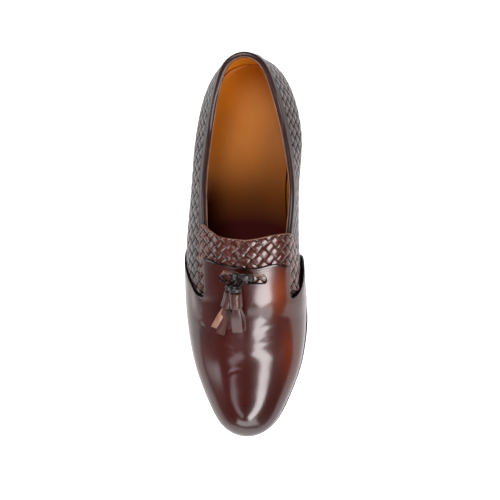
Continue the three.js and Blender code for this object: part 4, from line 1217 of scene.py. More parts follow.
    def build(self) -> bpy.types.Object:
        """Build the vamp and dress it."""
        sizes = self.workshop.sizes
        sheets = [
            Bench.lay("vamp_front", self._front()),
            Bench.lay("vamp_tab_medial", self._tab(Side.MEDIAL)),
            Bench.lay("vamp_tab_lateral", self._tab(Side.LATERAL)),
        ]
        sheet = Bench.join("vamp_leather", sheets)
        Bench.weld(sheet, 0.12 * MM)
        Bench.face_out(sheet)
        if Bench.normals_of(sheet)[:, 2].mean() < 0:
            Bench.edit(sheet, lambda: bpy.ops.mesh.flip_normals())
        self._relax(sheet)
        self._cut_slots(sheet)
        points = Bench.points_of(sheet)
        outer = sizes.gap + sizes.overlay + self.lift(points) - self.crease(points)
        Bench.raise_skin(sheet, outer)
        Bench.tag(sheet, "rim", rim_distance(sheet, lambda spots: spots[:, 2] > 6.5 * MM))
        self.tree = BVHTree.FromObject(sheet, bpy.context.evaluated_depsgraph_get())
        Bench.modify(
            sheet, "SOLIDIFY", thickness=sizes.overlay, offset=-1.0, use_even_offset=False,
            use_quality_normals=True,
        )
        Bench.modify(
            sheet, "BEVEL", width=0.3 * MM, segments=2, limit_method="ANGLE",
            angle_limit=math.radians(50), use_clamp_overlap=True,
        )
        return self.workshop.deliver(sheet, POLISHED_CALF, Slot.POLISHED, ["vamp"], 55)

    def _relax(self, sheet: bpy.types.Object) -> None:
        """Even out the sheet's small unevenness, with its edges held."""
        distance = rim_distance(sheet, lambda spots: np.ones(len(spots), bool))
        group = sheet.vertex_groups.new(name="inner")
        for index in np.nonzero(distance > 0.1 * MM)[0]:
            group.add([int(index)], float(min(1.0, distance[index] / (6 * MM))), "REPLACE")
        Bench.modify(sheet, "SMOOTH", factor=0.5, iterations=30, vertex_group="inner")
        sheet.vertex_groups.clear()
        self._even_toe(sheet)

    def _even_toe(self, sheet: bpy.types.Object) -> None:
        """Lay the meeting point of the columns on one smooth dome through the toe round it."""
        points = Bench.points_of(sheet)
        flat = (points[:, :2] - self.toe_middle) / self.toe_reach
        gap = np.linalg.norm(flat, axis=1)
        powers = [(i, j) for i in range(5) for j in range(5 - i)]
        terms = np.stack([flat[:, 0] ** i * flat[:, 1] ** j for i, j in powers], axis=1)
        around = (gap > 0.35) & (gap < 1.15) & (points[:, 2] > self.toe_floor)
        dome = np.linalg.lstsq(terms[around], points[around, 2], rcond=None)[0]
        share = smooth((1 - gap) / 0.45)
        inner = gap < 1
        points[inner, 2] += (share * (terms @ dome - points[:, 2]))[inner]
        Bench.move_points(sheet, points)

    def edge_path(self, side: Side) -> np.ndarray:
        """Points of one wing's cut edge on the sheet, from the sole to the notch and back along the tab."""
        path = []
        for row in np.linspace(0.05, SIDE_ROWS, 60):
            path.append(self._at(side, self.wing_station(side, row), row))
        start = self.wing_station(side, SIDE_ROWS)
        end = self.tab_station(side, SIDE_ROWS + 0.02)
        for station in np.linspace(start, end, 24)[1:]:
            path.append(self._at(side, station, SIDE_ROWS))
        for row in np.linspace(SIDE_ROWS + 0.1, ROWS, 40):
            path.append(self._at(side, self.tab_station(side, row), row))
        return np.array(path)

    def _at(self, side: Side, station: float, row: float) -> np.ndarray:
        """A point of the upper's surface on one side."""
        loop = side_loop(side, station)
        return self.workshop.last.skin(np.array(loop), np.array(row))


@dataclass(frozen=True)
class Crease:
    """A soft trough across the leather, seen from above, with a low ridge on each side."""

    start: tuple[float, float]
    end: tuple[float, float]
    depth: float
    width: float

    def depth_at(self, points: np.ndarray) -> np.ndarray:
        """How deep the trough is at each point."""
        start, end = np.array(self.start), np.array(self.end)
        along = end - start
        share = np.clip((points[:, :2] - start) @ along / (along @ along), 0, 1)
        bow = np.sin(share * math.pi)[:, None] * np.array([0, 1.5 * MM])
        gap = np.linalg.norm(points[:, :2] - (start + share[:, None] * along + bow), axis=1)
        fade = np.sin(np.clip(share, 0.02, 0.98) * math.pi) ** 0.7
        near = gap / self.width
        return self.depth * fade * (np.exp(-(near**2)) - 0.35 * np.exp(-((near - 1.8) ** 2)))


def curve_through(xs: Sequence[float], ys: Sequence[float], x: float) -> float:
    """A smooth curve through points with rising x, read at one x."""
    xs, ys = np.asarray(xs), np.asarray(ys)
    slopes = np.gradient(ys, xs)
    index = int(np.clip(np.searchsorted(xs, x) - 1, 0, len(xs) - 2))
    span = xs[index + 1] - xs[index]
    t = min(1.0, max(0.0, (x - xs[index]) / span))
    low, high = ys[index], ys[index + 1]
    start, end = slopes[index] * span, slopes[index + 1] * span
    return float(
        (2 * t**3 - 3 * t**2 + 1) * low + (t**3 - 2 * t**2 + t) * start
        + (-2 * t**3 + 3 * t**2) * high + (t**3 - t**2) * end
    )


def resample(path: np.ndarray, count: int) -> np.ndarray:
    """Points at even lengths along a path."""
    steps = np.linalg.norm(np.diff(path, axis=0), axis=1)
    lengths = np.concatenate([[0], np.cumsum(steps)])
    targets = np.linspace(0, lengths[-1], count)
    return np.stack([np.interp(targets, lengths, path[:, axis]) for axis in range(path.shape[1])], axis=1)


def path_length(path: np.ndarray) -> float:
    """Length of a path."""
    return float(np.linalg.norm(np.diff(path, axis=0), axis=1).sum())


def inside_outline(point: Sequence[float], outline: np.ndarray) -> bool:
    """Whether a point is inside a closed outline seen from above."""
    x, y = point[0], point[1]
    x1, y1 = outline[:, 0], outline[:, 1]
    x2, y2 = np.roll(x1, -1), np.roll(y1, -1)
    crosses = (y1 > y) != (y2 > y)
    with np.errstate(divide="ignore", invalid="ignore"):
        at = x1 + (y - y1) * (x2 - x1) / (y2 - y1)
    return bool(np.count_nonzero(crosses & (x < at)) % 2)


@dataclass
class Seam:
    """A row of stitches along a path on a sheet."""

    workshop: Workshop
    tree: BVHTree
    pitch: float = 2.1 * MM
    length: float = 1.5 * MM
    width: float = 0.42 * MM
    height: float = 0.30 * MM

    def _stitch(self) -> tuple[np.ndarray, list[list[int]]]:
        """One stitch as points along, across and up, and its faces."""
        bpy.ops.object.select_all(action="DESELECT")
        bpy.ops.mesh.primitive_uv_sphere_add(segments=6, ring_count=5, radius=0.5)
        ball = bpy.context.object
        Bench.edit(ball, lambda: bpy.ops.transform.rotate(
            value=math.pi / 2, orient_axis="Y", center_override=(0, 0, 0)
        ))
        points = Bench.points_of(ball)
        points[:, 0] = np.sign(points[:, 0]) * np.abs(points[:, 0] * 2) ** 0.6 / 2
        faces = [list(face.vertices) for face in ball.data.polygons]
        bpy.data.objects.remove(ball)
        return points * [self.length, self.width, self.height], faces

    def row(self, name: str, path: np.ndarray, inward: np.ndarray, inset: float) -> bpy.types.Object:
        """Sew one row.

        Args:
            name: The row's name.
            path: Points of the cut edge.
            inward: For each point, the direction from the edge into the sheet.
            inset: How far in from the edge the row runs.

        Returns:
            All its stitches as one mesh.
        """
        line = path + inward * inset
        line = np.array([self.tree.find_nearest(Vector(point))[0][:] for point in line])
        count = max(2, int(path_length(line) / self.pitch))
        centres = resample(line, 2 * count + 1)
        shape, faces = self._stitch()
        points: list[np.ndarray] = []
        polygons: list[list[int]] = []
        for index in range(1, 2 * count, 2):
            along = centres[index + 1] - centres[index - 1]
            along = along / np.linalg.norm(along)
            spot, normal = self.tree.find_nearest(Vector(centres[index]))[:2]
            up = np.array(normal[:])
            across = np.cross(up, along)
            across = across / np.linalg.norm(across)
            start = sum(len(block) for block in points)
            points.append(
                np.array(spot[:]) + shape[:, :1] * along + shape[:, 1:2] * across + shape[:, 2:] * up
            )
            polygons += [[start + corner for corner in face] for face in faces]
        mesh = bpy.data.meshes.new(name)
        mesh.from_pydata(np.vstack(points).tolist(), [], polygons)
        piece = bpy.data.objects.new(name, mesh)
        bpy.context.collection.objects.link(piece)
        Bench.face_out(piece)
        return self.workshop.deliver(piece, THREAD, Slot.BINDING, [], 80)


@dataclass
class PlaitShape:
    """The size of a plait's strips."""

    pitch: float = 6.3 * MM
    cover: float = 0.94
    reach: float = 1.22
    thickness: float = 0.8 * MM
    crown: float = 0.28 * MM
    dive: float = 1.0 * MM

    def tile(self) -> tuple[np.ndarray, list[list[int]], np.ndarray]:
        """The visible stretch of one strip, over a crossing.

        Returns:
            Points along, across and up; faces; and for each face corner its place in the UV map.
        """
        along, across = np.meshgrid(np.linspace(-0.5, 0.5, 9), np.linspace(-0.5, 0.5, 6))
        bow = 1 - (2 * np.abs(across)) ** 2.6
        ends = smooth((np.abs(along) * self.reach - 0.30) / 0.30)
        height = self.crown * bow - self.dive * ends
        long, wide = self.reach * self.pitch, self.cover * self.pitch
        points = np.stack([along * long, across * wide, height], axis=2)
        strip = Bench.lay("strip", points)
        Bench.modify(strip, "SOLIDIFY", thickness=self.thickness, offset=-1.0)
        spots = Bench.points_of(strip)
        faces = [list(face.vertices) for face in strip.data.polygons]
        layer = strip.data.uv_layers.active.data
        corners = np.array([
            layer[index].uv[:] for face in strip.data.polygons for index in face.loop_indices
        ])
        bpy.data.objects.remove(strip)
        return spots, faces, corners

    def lay_all(
        self,
        name: str,
        cells: Sequence[tuple[int, int]],
        place: Callable[[np.ndarray, np.ndarray, np.ndarray], np.ndarray],
    ) -> bpy.types.Object:
        """Plait strips over many crossings.

        Args:
            name: The piece's name.
            cells: Crossings, as steps along the two directions of the plait.
            place: Turns places in the flat plait and heights over it into points on the shoe.

        Returns:
            All the strips as one mesh.
        """
        shape, faces, corners = self.tile()
        points: list[np.ndarray] = []
        polygons: list[list[int]] = []
        shades: list[float] = []
        rims: list[np.ndarray] = []
        half = math.sqrt(0.5)
        edge = (0.5 - np.abs(shape[:, 1]) / (self.cover * self.pitch)) * self.cover * self.pitch
        for count, (i, j) in enumerate(cells):
            swap = (i + j) % 2
            a, b = (shape[:, 0], shape[:, 1]) if swap else (-shape[:, 1], shape[:, 0])
            u = (i * self.pitch + a, j * self.pitch + b)
            s = (u[0] - u[1]) * half
            t = (u[0] + u[1]) * half
            start = count * len(shape)
            points.append(place(s, t, shape[:, 2]))
            polygons += [[start + corner for corner in face] for face in faces]
            shades += [np.random.random()] * len(shape)
            rims.append(edge)
        mesh = bpy.data.meshes.new(name)
        mesh.from_pydata(np.vstack(points).tolist(), [], polygons)
        layer = mesh.uv_layers.new(name="UVMap")
        shift = np.repeat(np.random.random((len(cells), 2)) * 9, len(corners), axis=0)
        layer.data.foreach_set("uv", (np.tile(corners, (len(cells), 1)) + shift).ravel())
        piece = bpy.data.objects.new(name, mesh)
        bpy.context.collection.objects.link(piece)
        Bench.tag(piece, "rim", np.concatenate(rims))
        Bench.tag(piece, "shade", np.array(shades))
        return piece


@dataclass
class Quarters:
    """The plaited sides of the shoe and the wall behind them."""

    workshop: Workshop
    vamp: Vamp
    plait: PlaitShape
    sink: float = 0.95 * MM
    backing: float = 0.5 * MM
    front_station: float = 0.30

    def _side_lengths(self) -> tuple[np.ndarray, np.ndarray, np.ndarray]:
        """Stations, the length along the side up to each and the wall's height there."""
        last = self.workshop.last
        stations = np.linspace(0.2, 1, 161)
        middle = last.skin(stations, np.full(stations.shape, 3.0))
        steps = np.linalg.norm(np.diff(middle, axis=0), axis=1)
        lengths = np.concatenate([[0], np.cumsum(steps)])
        heights = []
        for station in stations:
            rows = np.linspace(0, SIDE_ROWS - 1, 26)
            heights.append(path_length(last.skin(np.full(rows.shape, station), rows)))
        return stations, lengths, np.array(heights)

    def build(self) -> None:
        """Build the wall and the plait of each side."""
        last = self.workshop.last
        loops = np.linspace(self.front_station, 2 - self.front_station, 200)
        rows = np.linspace(0, SIDE_ROWS, 30)
        grid = last.skin(loops[None, :], rows[:, None], -self.sink)
        wall = Bench.lay("quarter_wall", grid)
        Bench.modify(wall, "SOLIDIFY", thickness=self.backing, offset=-1.0)
        Bench.face_out(wall)
        self.workshop.deliver(wall, BINDING_CALF, Slot.PLAITED, ["upper"])
        for side in Side:
            self._plait(side)

    def _plait(self, side: Side) -> None:
        """Plait one side."""
        last, sizes = self.workshop.last, self.workshop.sizes
        stations, lengths, heights = self._side_lengths()
        stop = lengths[-1] - sizes.back_strap_width / 2 + 2.0 * MM
        low = lengths[int(np.searchsorted(stations, 0.36))]

        def place(s: np.ndarray, t: np.ndarray, height: np.ndarray) -> np.ndarray:
            s = np.minimum(s, stop)
            station = np.interp(s, lengths, stations)
            top = np.interp(s, lengths, heights)
            row = np.clip(t / top * (SIDE_ROWS - 1), 0.0, None)
            row = np.where(
                row > SIDE_ROWS - 1, SIDE_ROWS - 1 + (t - top) / sizes.band_width, row
            )
            row = np.clip(row, 0.0, SIDE_ROWS - 0.12)
            loop = side_loop(side, station)
            return last.skin(loop, row, height)

        cells = []
        reach = int(lengths[-1] / self.plait.pitch) + 14
        wing = {row: self.vamp.wing_station(side, row) for row in np.linspace(0, 6, 13)}
        wing_rows, wing_stations = np.array(list(wing)), np.array(list(wing.values()))
        for i in range(-reach, reach):
            for j in range(-reach, reach):
                s = (i - j) * self.plait.pitch * math.sqrt(0.5)
                t = (i + j) * self.plait.pitch * math.sqrt(0.5)
                top = float(np.interp(s, lengths, heights)) + sizes.band_width
                margin = self.plait.pitch * 0.7
                if not (low < s < stop + margin and -margin < t < top + margin):
                    continue
                row = min(float(SIDE_ROWS), max(0.0, t / top * SIDE_ROWS))
                cover = float(np.interp(row, wing_rows, wing_stations))
                ahead = float(np.interp(cover, stations, lengths)) - s
                if ahead < 9 * MM:
                    cells.append((i, j))
        piece = self.plait.lay_all(f"plait_{side.name.lower()}", cells, place)
        Bench.weld(piece, 0.001 * MM)
        Bench.face_out(piece)
        self.workshop.deliver(piece, PLAITED_CALF, Slot.PLAITED, ["upper"], 60)


class TongueSheet:
    """Flat coordinates of the tongue: across from the ridge, positive medially, and along."""

    def __init__(self, workshop: Workshop) -> None:
        """Work out the sheet's edges."""
        self.workshop = workshop
        last = workshop.last
        self.stations = np.linspace(0.30, 0.598, 150)
        self.ridge_y = last.skin(self.stations, np.full(150, float(ROWS)))[:, 1]
        self.half_widths = {}
        for side in Side:
            lengths = []
            for station in self.stations:
                rows = np.linspace(SIDE_ROWS, ROWS, 20)
                loop = side_loop(side, station)
                lengths.append(path_length(last.skin(np.full(20, loop), rows)))
            self.half_widths[side] = np.array(lengths)
        edge = self._outline()
        self.rear_p, self.rear_q = edge[1:-1, 0], edge[1:-1, 1]
        self.lateral = edge[[-1, -2, -3, -4]]
        self.medial = edge[[0, 1, 2, 3]]

    def place(self, p: np.ndarray, q: np.ndarray, height: np.ndarray | float) -> np.ndarray:
        """Points on the shoe for places on the sheet."""
        last, sizes = self.workshop.last, self.workshop.sizes
        p, q = np.broadcast_arrays(p, q)
        station = np.interp(q, self.ridge_y, self.stations)
        medial = np.interp(station, self.stations, self.half_widths[Side.MEDIAL])
        lateral = np.interp(station, self.stations, self.half_widths[Side.LATERAL])
        half = np.where(p > 0, medial, lateral)
        over = (np.abs(p) - half) / sizes.band_width
        low = SIDE_ROWS - over
        below = SIDE_ROWS - 1 - (over - 1) * sizes.band_width / (11 * MM)
        low = np.where(low < SIDE_ROWS - 1, below, low)
        row = np.where(over > 0, low, ROWS - INSTEP_ROWS * np.abs(p) / half)
        loop = np.where(p > 0, station, 2 - station)
        return last.skin(loop, row, height)

    def _outline(self) -> np.ndarray:
        """The tongue's edge from the medial front round the back, as places on the sheet."""
        sizes = self.workshop.sizes
        p, q = np.meshgrid(np.linspace(-0.062, 0.058, 240), np.linspace(-0.036, 0.036, 200))
        plan = self.place(p, q, sizes.gap)
        tree = KDTree(p.size)
        for index, point in enumerate(plan.reshape(-1, 3)):
            tree.insert((point[0], point[1], 0), index)
        tree.balance()
        edge = []
        for point in TONGUE_EDGE:
            index = tree.find((point.across * sizes.ball_width, point.along * sizes.length, 0))[1]
            edge.append((p.flat[index], q.flat[index]))
        return np.array(edge)

    def clip(self, p: np.ndarray, q: np.ndarray) -> tuple[np.ndarray, np.ndarray]:
        """Bring places beyond the edge back onto it."""
        order = np.argsort(self.lateral[:, 1])
        low = np.interp(q, self.lateral[order, 1], self.lateral[order, 0])
        order = np.argsort(self.medial[:, 1])
        high = np.interp(q, self.medial[order, 1], self.medial[order, 0])
        p = np.clip(p, low, high)
        order = np.argsort(self.rear_p)
        q = np.minimum(q, np.interp(p, self.rear_p[order], self.rear_q[order]))
        front = TONGUE_FRONT * self.workshop.sizes.length
        return p, np.maximum(q, front)


@dataclass
class Tongue:
    """The plaited tongue under the tab, with its bound edge."""

    workshop: Workshop
    plait: PlaitShape
    base: float = 0.75 * MM

    def build(self) -> None:
        """Build the tongue's ground, plait and edge."""
        sheet = TongueSheet(self.workshop)
        sizes = self.workshop.sizes
        p = np.linspace(sheet.rear_p.min(), sheet.rear_p.max(), 90)
        q = np.linspace(TONGUE_FRONT * sizes.length, sheet.rear_q.max(), 50)
        across, along = np.meshgrid(p, q)
        order = np.argsort(sheet.rear_p)
        rear = np.interp(across, sheet.rear_p[order], sheet.rear_q[order])
        share = (along - q[0]) / (q[-1] - q[0])
        along = q[0] + share * (rear - q[0])
        grid = sheet.place(across, along, self.base)
        ground = Bench.lay("tongue_ground", grid)
        Bench.modify(ground, "SOLIDIFY", thickness=0.45 * MM, offset=-1.0)
        Bench.face_out(ground)
        self.workshop.deliver(ground, BINDING_CALF, Slot.PLAITED, ["tongue"])
        level = sizes.gap + sizes.overlay

        def place(s: np.ndarray, t: np.ndarray, height: np.ndarray) -> np.ndarray:
            p, q = sheet.clip(s, t)
            return sheet.place(p, q, np.maximum(height + level, self.base - 0.3 * MM))

        cells = []
        margin = self.plait.pitch * 0.72
        for i in range(-22, 22):
            for j in range(-22, 22):
                s = (i - j) * self.plait.pitch * math.sqrt(0.5)
                t = (i + j) * self.plait.pitch * math.sqrt(0.5)
                inside_p, inside_q = sheet.clip(np.array([s]), np.array([t]))
                if math.hypot(inside_p[0] - s, inside_q[0] - t) < margin:
                    cells.append((i, j))
        piece = self.plait.lay_all("tongue_plait", cells, place)
        Bench.weld(piece, 0.001 * MM)
        Bench.face_out(piece)
        self.workshop.deliver(piece, TONGUE_CALF, Slot.PLAITED, ["tongue"], 60)
        self._edge(sheet, level)

    def _edge(self, sheet: TongueSheet, level: float) -> None:
        """Bind the tongue's visible edge."""
        rear = np.stack([sheet.rear_p, sheet.rear_q], axis=1)
        flat = np.vstack([sheet.medial[:1], rear, sheet.lateral[:1]])
        steps = np.linspace(0, len(flat) - 1, 220)
        p = np.array([curve_value(list(flat[:, 0]), step, False) for step in steps])
        q = np.array([curve_value(list(flat[:, 1]), step, False) for step in steps])
        path = sheet.place(p, q, level * 0.72)
        above = sheet.place(p, q, level * 0.72 + 1 * MM)
        rings = flat_tube(path, above - path, 0.75 * MM, 1.15 * MM)
        piece = Bench.tube("tongue_binding", rings)
        self.workshop.deliver(piece, EDGE_PIPING, Slot.BINDING, ["tongue"], 60)


def flat_tube(
    path: np.ndarray, up: np.ndarray, width: float, height: float, sides: int = 10
) -> np.ndarray:
    """Rings of an oval tube along a path.

    Args:
        path: Points of the middle line.
        up: Directions of the oval's height.
        width: The oval's width.
        height: The oval's height.
        sides: Points in a ring.

    Returns:
        Rings by points by 3.
    """
    along = np.gradient(path, axis=0)
    along /= np.linalg.norm(along, axis=1, keepdims=True)
    across = np.cross(along, up)
    across /= np.linalg.norm(across, axis=1, keepdims=True)
    lift = np.cross(across, along)
    angles = np.linspace(0, 2 * math.pi, sides, endpoint=False)
    round_x = np.sign(np.cos(angles)) * np.abs(np.cos(angles)) ** 0.8 * width / 2
    round_y = np.sign(np.sin(angles)) * np.abs(np.sin(angles)) ** 0.8 * height / 2
    return (
        path[:, None] + across[:, None] * round_x[None, :, None] + lift[:, None] * round_y[None, :, None]
    )


@dataclass
class Interior:
    """The lining and the sock of the insole."""

    workshop: Workshop
    thickness: float = 0.6 * MM
    margin: float = 2.4 * MM
    cup: float = 1.6 * MM
    throat: float = 0.495

    def build(self) -> None:
        """Build the lining and the insole."""
        last, sizes = self.workshop.last, self.workshop.sizes
        front = np.linspace(-self.throat, self.throat, 150)
        rows = np.concatenate([np.linspace(0, SIDE_ROWS, 30), np.linspace(SIDE_ROWS, ROWS, 20)[1:]])
        rear = np.linspace(self.throat, 2 - self.throat, 130)
        level = -(sizes.wall - self.thickness)
        sheets = [
            Bench.lay("lining_front", last.skin(front[None, :], rows[:, None], level)),
            Bench.lay("lining_rear", last.skin(rear[None, :], rows[:30, None], level)),
        ]
        lining = Bench.join("lining", sheets)
        Bench.weld(lining, 0.1 * MM)
        Bench.face_out(lining)
        if (Bench.normals_of(lining) * (Bench.points_of(lining) - [0, 0, 0.03])).sum() < 0:
            Bench.edit(lining, lambda: bpy.ops.mesh.flip_normals())
        Bench.modify(lining, "SOLIDIFY", thickness=self.thickness, offset=-1.0)
        self.workshop.deliver(lining, LINING, Slot.LINING, ["upper"])
        stations = np.linspace(0.012, 0.988, 90)
        across = np.linspace(-1, 1, 33)
        grid = []
        for station in stations:
            medial = last.layer_edge(station, 1, -self.margin)
            lateral = last.layer_edge(station, -1, -self.margin)
            middle, half = (medial + lateral) / 2, (medial - lateral) / 2
            row = middle + across[:, None] * half
            row[:, 2] = last.sole_top(row[:, 1]) + sizes.gap + sizes.insole
            row[:, 2] += self.cup * np.abs(across) ** 5
            grid.append(row)
        insole = Bench.lay("insole_sock", np.array(grid))
        Bench.modify(insole, "SOLIDIFY", thickness=sizes.insole * 0.9, offset=-1.0)
        Bench.face_out(insole)
        self.workshop.deliver(insole, INSOLE, Slot.LINING, ["insole"])


@dataclass
class Collar:
    """The binding folded over the topline, its piping and the strap down the heel."""

    workshop: Workshop
    low_row: float = 5.05
    crest: float = 1.25 * MM
    inner_drop: float = 2.2 * MM

    def ear_station(self, side: Side) -> float:
        """Station of the tongue's ear, where the binding starts."""
        edge = TONGUE_EDGE[3] if side is Side.MEDIAL else TONGUE_EDGE[9]
        y = edge.along * self.workshop.sizes.length
        stations = np.linspace(0.45, 0.75, 200)
        loops = side_loop(side, stations)
        along = self.workshop.last.skin(loops, np.full(200, float(SIDE_ROWS)))[:, 1]
        return float(np.interp(y, along, stations)) - 0.006

    def build(self) -> None:
        """Build the binding, piping, heel strap and their seams."""
        last, sizes = self.workshop.last, self.workshop.sizes
        start, end = self.ear_station(Side.MEDIAL), 2 - self.ear_station(Side.LATERAL)
        loops = np.linspace(start, end, 190)
        outer, inner = sizes.gap + sizes.band, -(sizes.wall + sizes.gap + sizes.band)
        rings = np.array([self._ring(loop, outer, inner) for loop in loops])
        band = Bench.tube("collar_binding_leather", rings)
        self.workshop.deliver(band, BINDING_CALF, Slot.BINDING, ["collar_binding"], 60)
        middle, half = (outer + inner) / 2, (outer - inner) / 2
        spots, ups = [], []
        for loop in loops:
            top, normal, up = self._frame(loop)
            angle = math.radians(128)
            level = middle + (half + 0.1 * MM) * math.cos(angle)
            spots.append(top + normal * level + up * (self.crest + 0.1 * MM) * math.sin(angle))
            ups.append(up)
        rings = flat_tube(np.array(spots), np.array(ups), 0.7 * MM, 0.7 * MM, 8)
        piping = Bench.tube("collar_piping", rings)
        self.workshop.deliver(piping, EDGE_PIPING, Slot.BINDING, ["collar_binding"], 60)
        self._strap()
        tree = BVHTree.FromObject(band, bpy.context.evaluated_depsgraph_get())
        edge = last.skin(loops, np.full(loops.shape, self.low_row), outer)
        above = last.skin(loops, np.full(loops.shape, self.low_row + 0.3), outer)
        inward = (above - edge) / np.linalg.norm(above - edge, axis=1, keepdims=True)
        Seam(self.workshop, tree).row("collar_seam", edge, inward, 1.0 * MM)

    def _frame(self, loop: float) -> tuple[np.ndarray, np.ndarray, np.ndarray]:
        """The topline's point, outward direction and upward direction at a place on the loop."""
        last = self.workshop.last
        top = last.skin(np.array(loop), np.array(SIDE_ROWS - 0.001))
        out = last.skin(np.array(loop), np.array(SIDE_ROWS - 0.001), 1 * MM) - top
        up = top - last.skin(np.array(loop), np.array(SIDE_ROWS - 0.2))
        return top, out / np.linalg.norm(out), up / np.linalg.norm(up)

    def _ring(self, loop: float, outer: float, inner: float) -> np.ndarray:
        """The binding's section at a place on the loop."""
        last, sizes = self.workshop.last, self.workshop.sizes
        top, normal, up = self._frame(loop)
        ring = []
        for row in np.linspace(self.low_row, SIDE_ROWS - 0.05, 5):
            ring.append(last.skin(np.array(loop), np.array(row), outer))
        middle, half = (outer + inner) / 2, (outer - inner) / 2
        for angle in np.linspace(0, math.pi, 9):
            level = middle + half * math.cos(angle)
            ring.append(top + normal * level + up * self.crest * math.sin(angle))
        ring.append(top + normal * inner - up * self.inner_drop)
        ring.append(top + normal * (inner + sizes.band) - up * self.inner_drop)
        for angle in np.linspace(math.pi, 0, 5):
            level = middle + (half - sizes.band) * math.cos(angle)
            ring.append(top + normal * level + up * (self.crest - sizes.band) * math.sin(angle))
        for row in np.linspace(SIDE_ROWS - 0.05, self.low_row, 5):
            ring.append(last.skin(np.array(loop), np.array(row), sizes.gap))
        return np.array(ring)

    def _strap(self) -> None:
        """Build the strap down the heel and the seams along its edges."""
        last, sizes = self.workshop.last, self.workshop.sizes
        rows = np.linspace(0.0, SIDE_ROWS - 0.92, 50)
        across = np.linspace(-1, 1, 25)
        grid = []
        stations = np.linspace(0.85, 1, 120)
        for row in rows:
            side = last.skin(stations, np.full(stations.shape, row))
            steps = np.linalg.norm(np.diff(side, axis=0), axis=1)
            back = np.concatenate([np.cumsum(steps[::-1])[::-1], [0]])
            width = sizes.back_strap_width / 2 * (1.0 - 0.12 * (row / SIDE_ROWS))
            station = np.interp(width, back[::-1], stations[::-1])
            loops = 1 + across * (1 - station)
            grid.append(last.skin(loops, np.full(loops.shape, row), sizes.gap + sizes.band))
        strap = Bench.lay("heel_strap_leather", np.array(grid))
        tree = BVHTree.FromObject(strap, bpy.context.evaluated_depsgraph_get())
        Bench.tag(strap, "rim", rim_distance(strap, lambda spots: np.ones(len(spots), bool)))
        Bench.modify(strap, "SOLIDIFY", thickness=sizes.band, offset=-1.0)
        if (Bench.normals_of(strap)[:, 1]).mean() < 0:
            Bench.face_out(strap)
        Bench.modify(strap, "BEVEL", width=0.25 * MM, segments=2, limit_method="ANGLE")
        Bench.face_out(strap)
        self.workshop.deliver(strap, BINDING_CALF, Slot.BINDING, ["back_strap"], 50)
        grid = np.array(grid)
        for name, edge, into in (("left", 0, 1), ("right", -1, -2)):
            path = grid[2:, edge]
            inward = grid[2:, into] - path
            inward /= np.linalg.norm(inward, axis=1, keepdims=True)
            Seam(self.workshop, tree).row(f"heel_strap_seam_{name}", path, inward, 1.4 * MM)


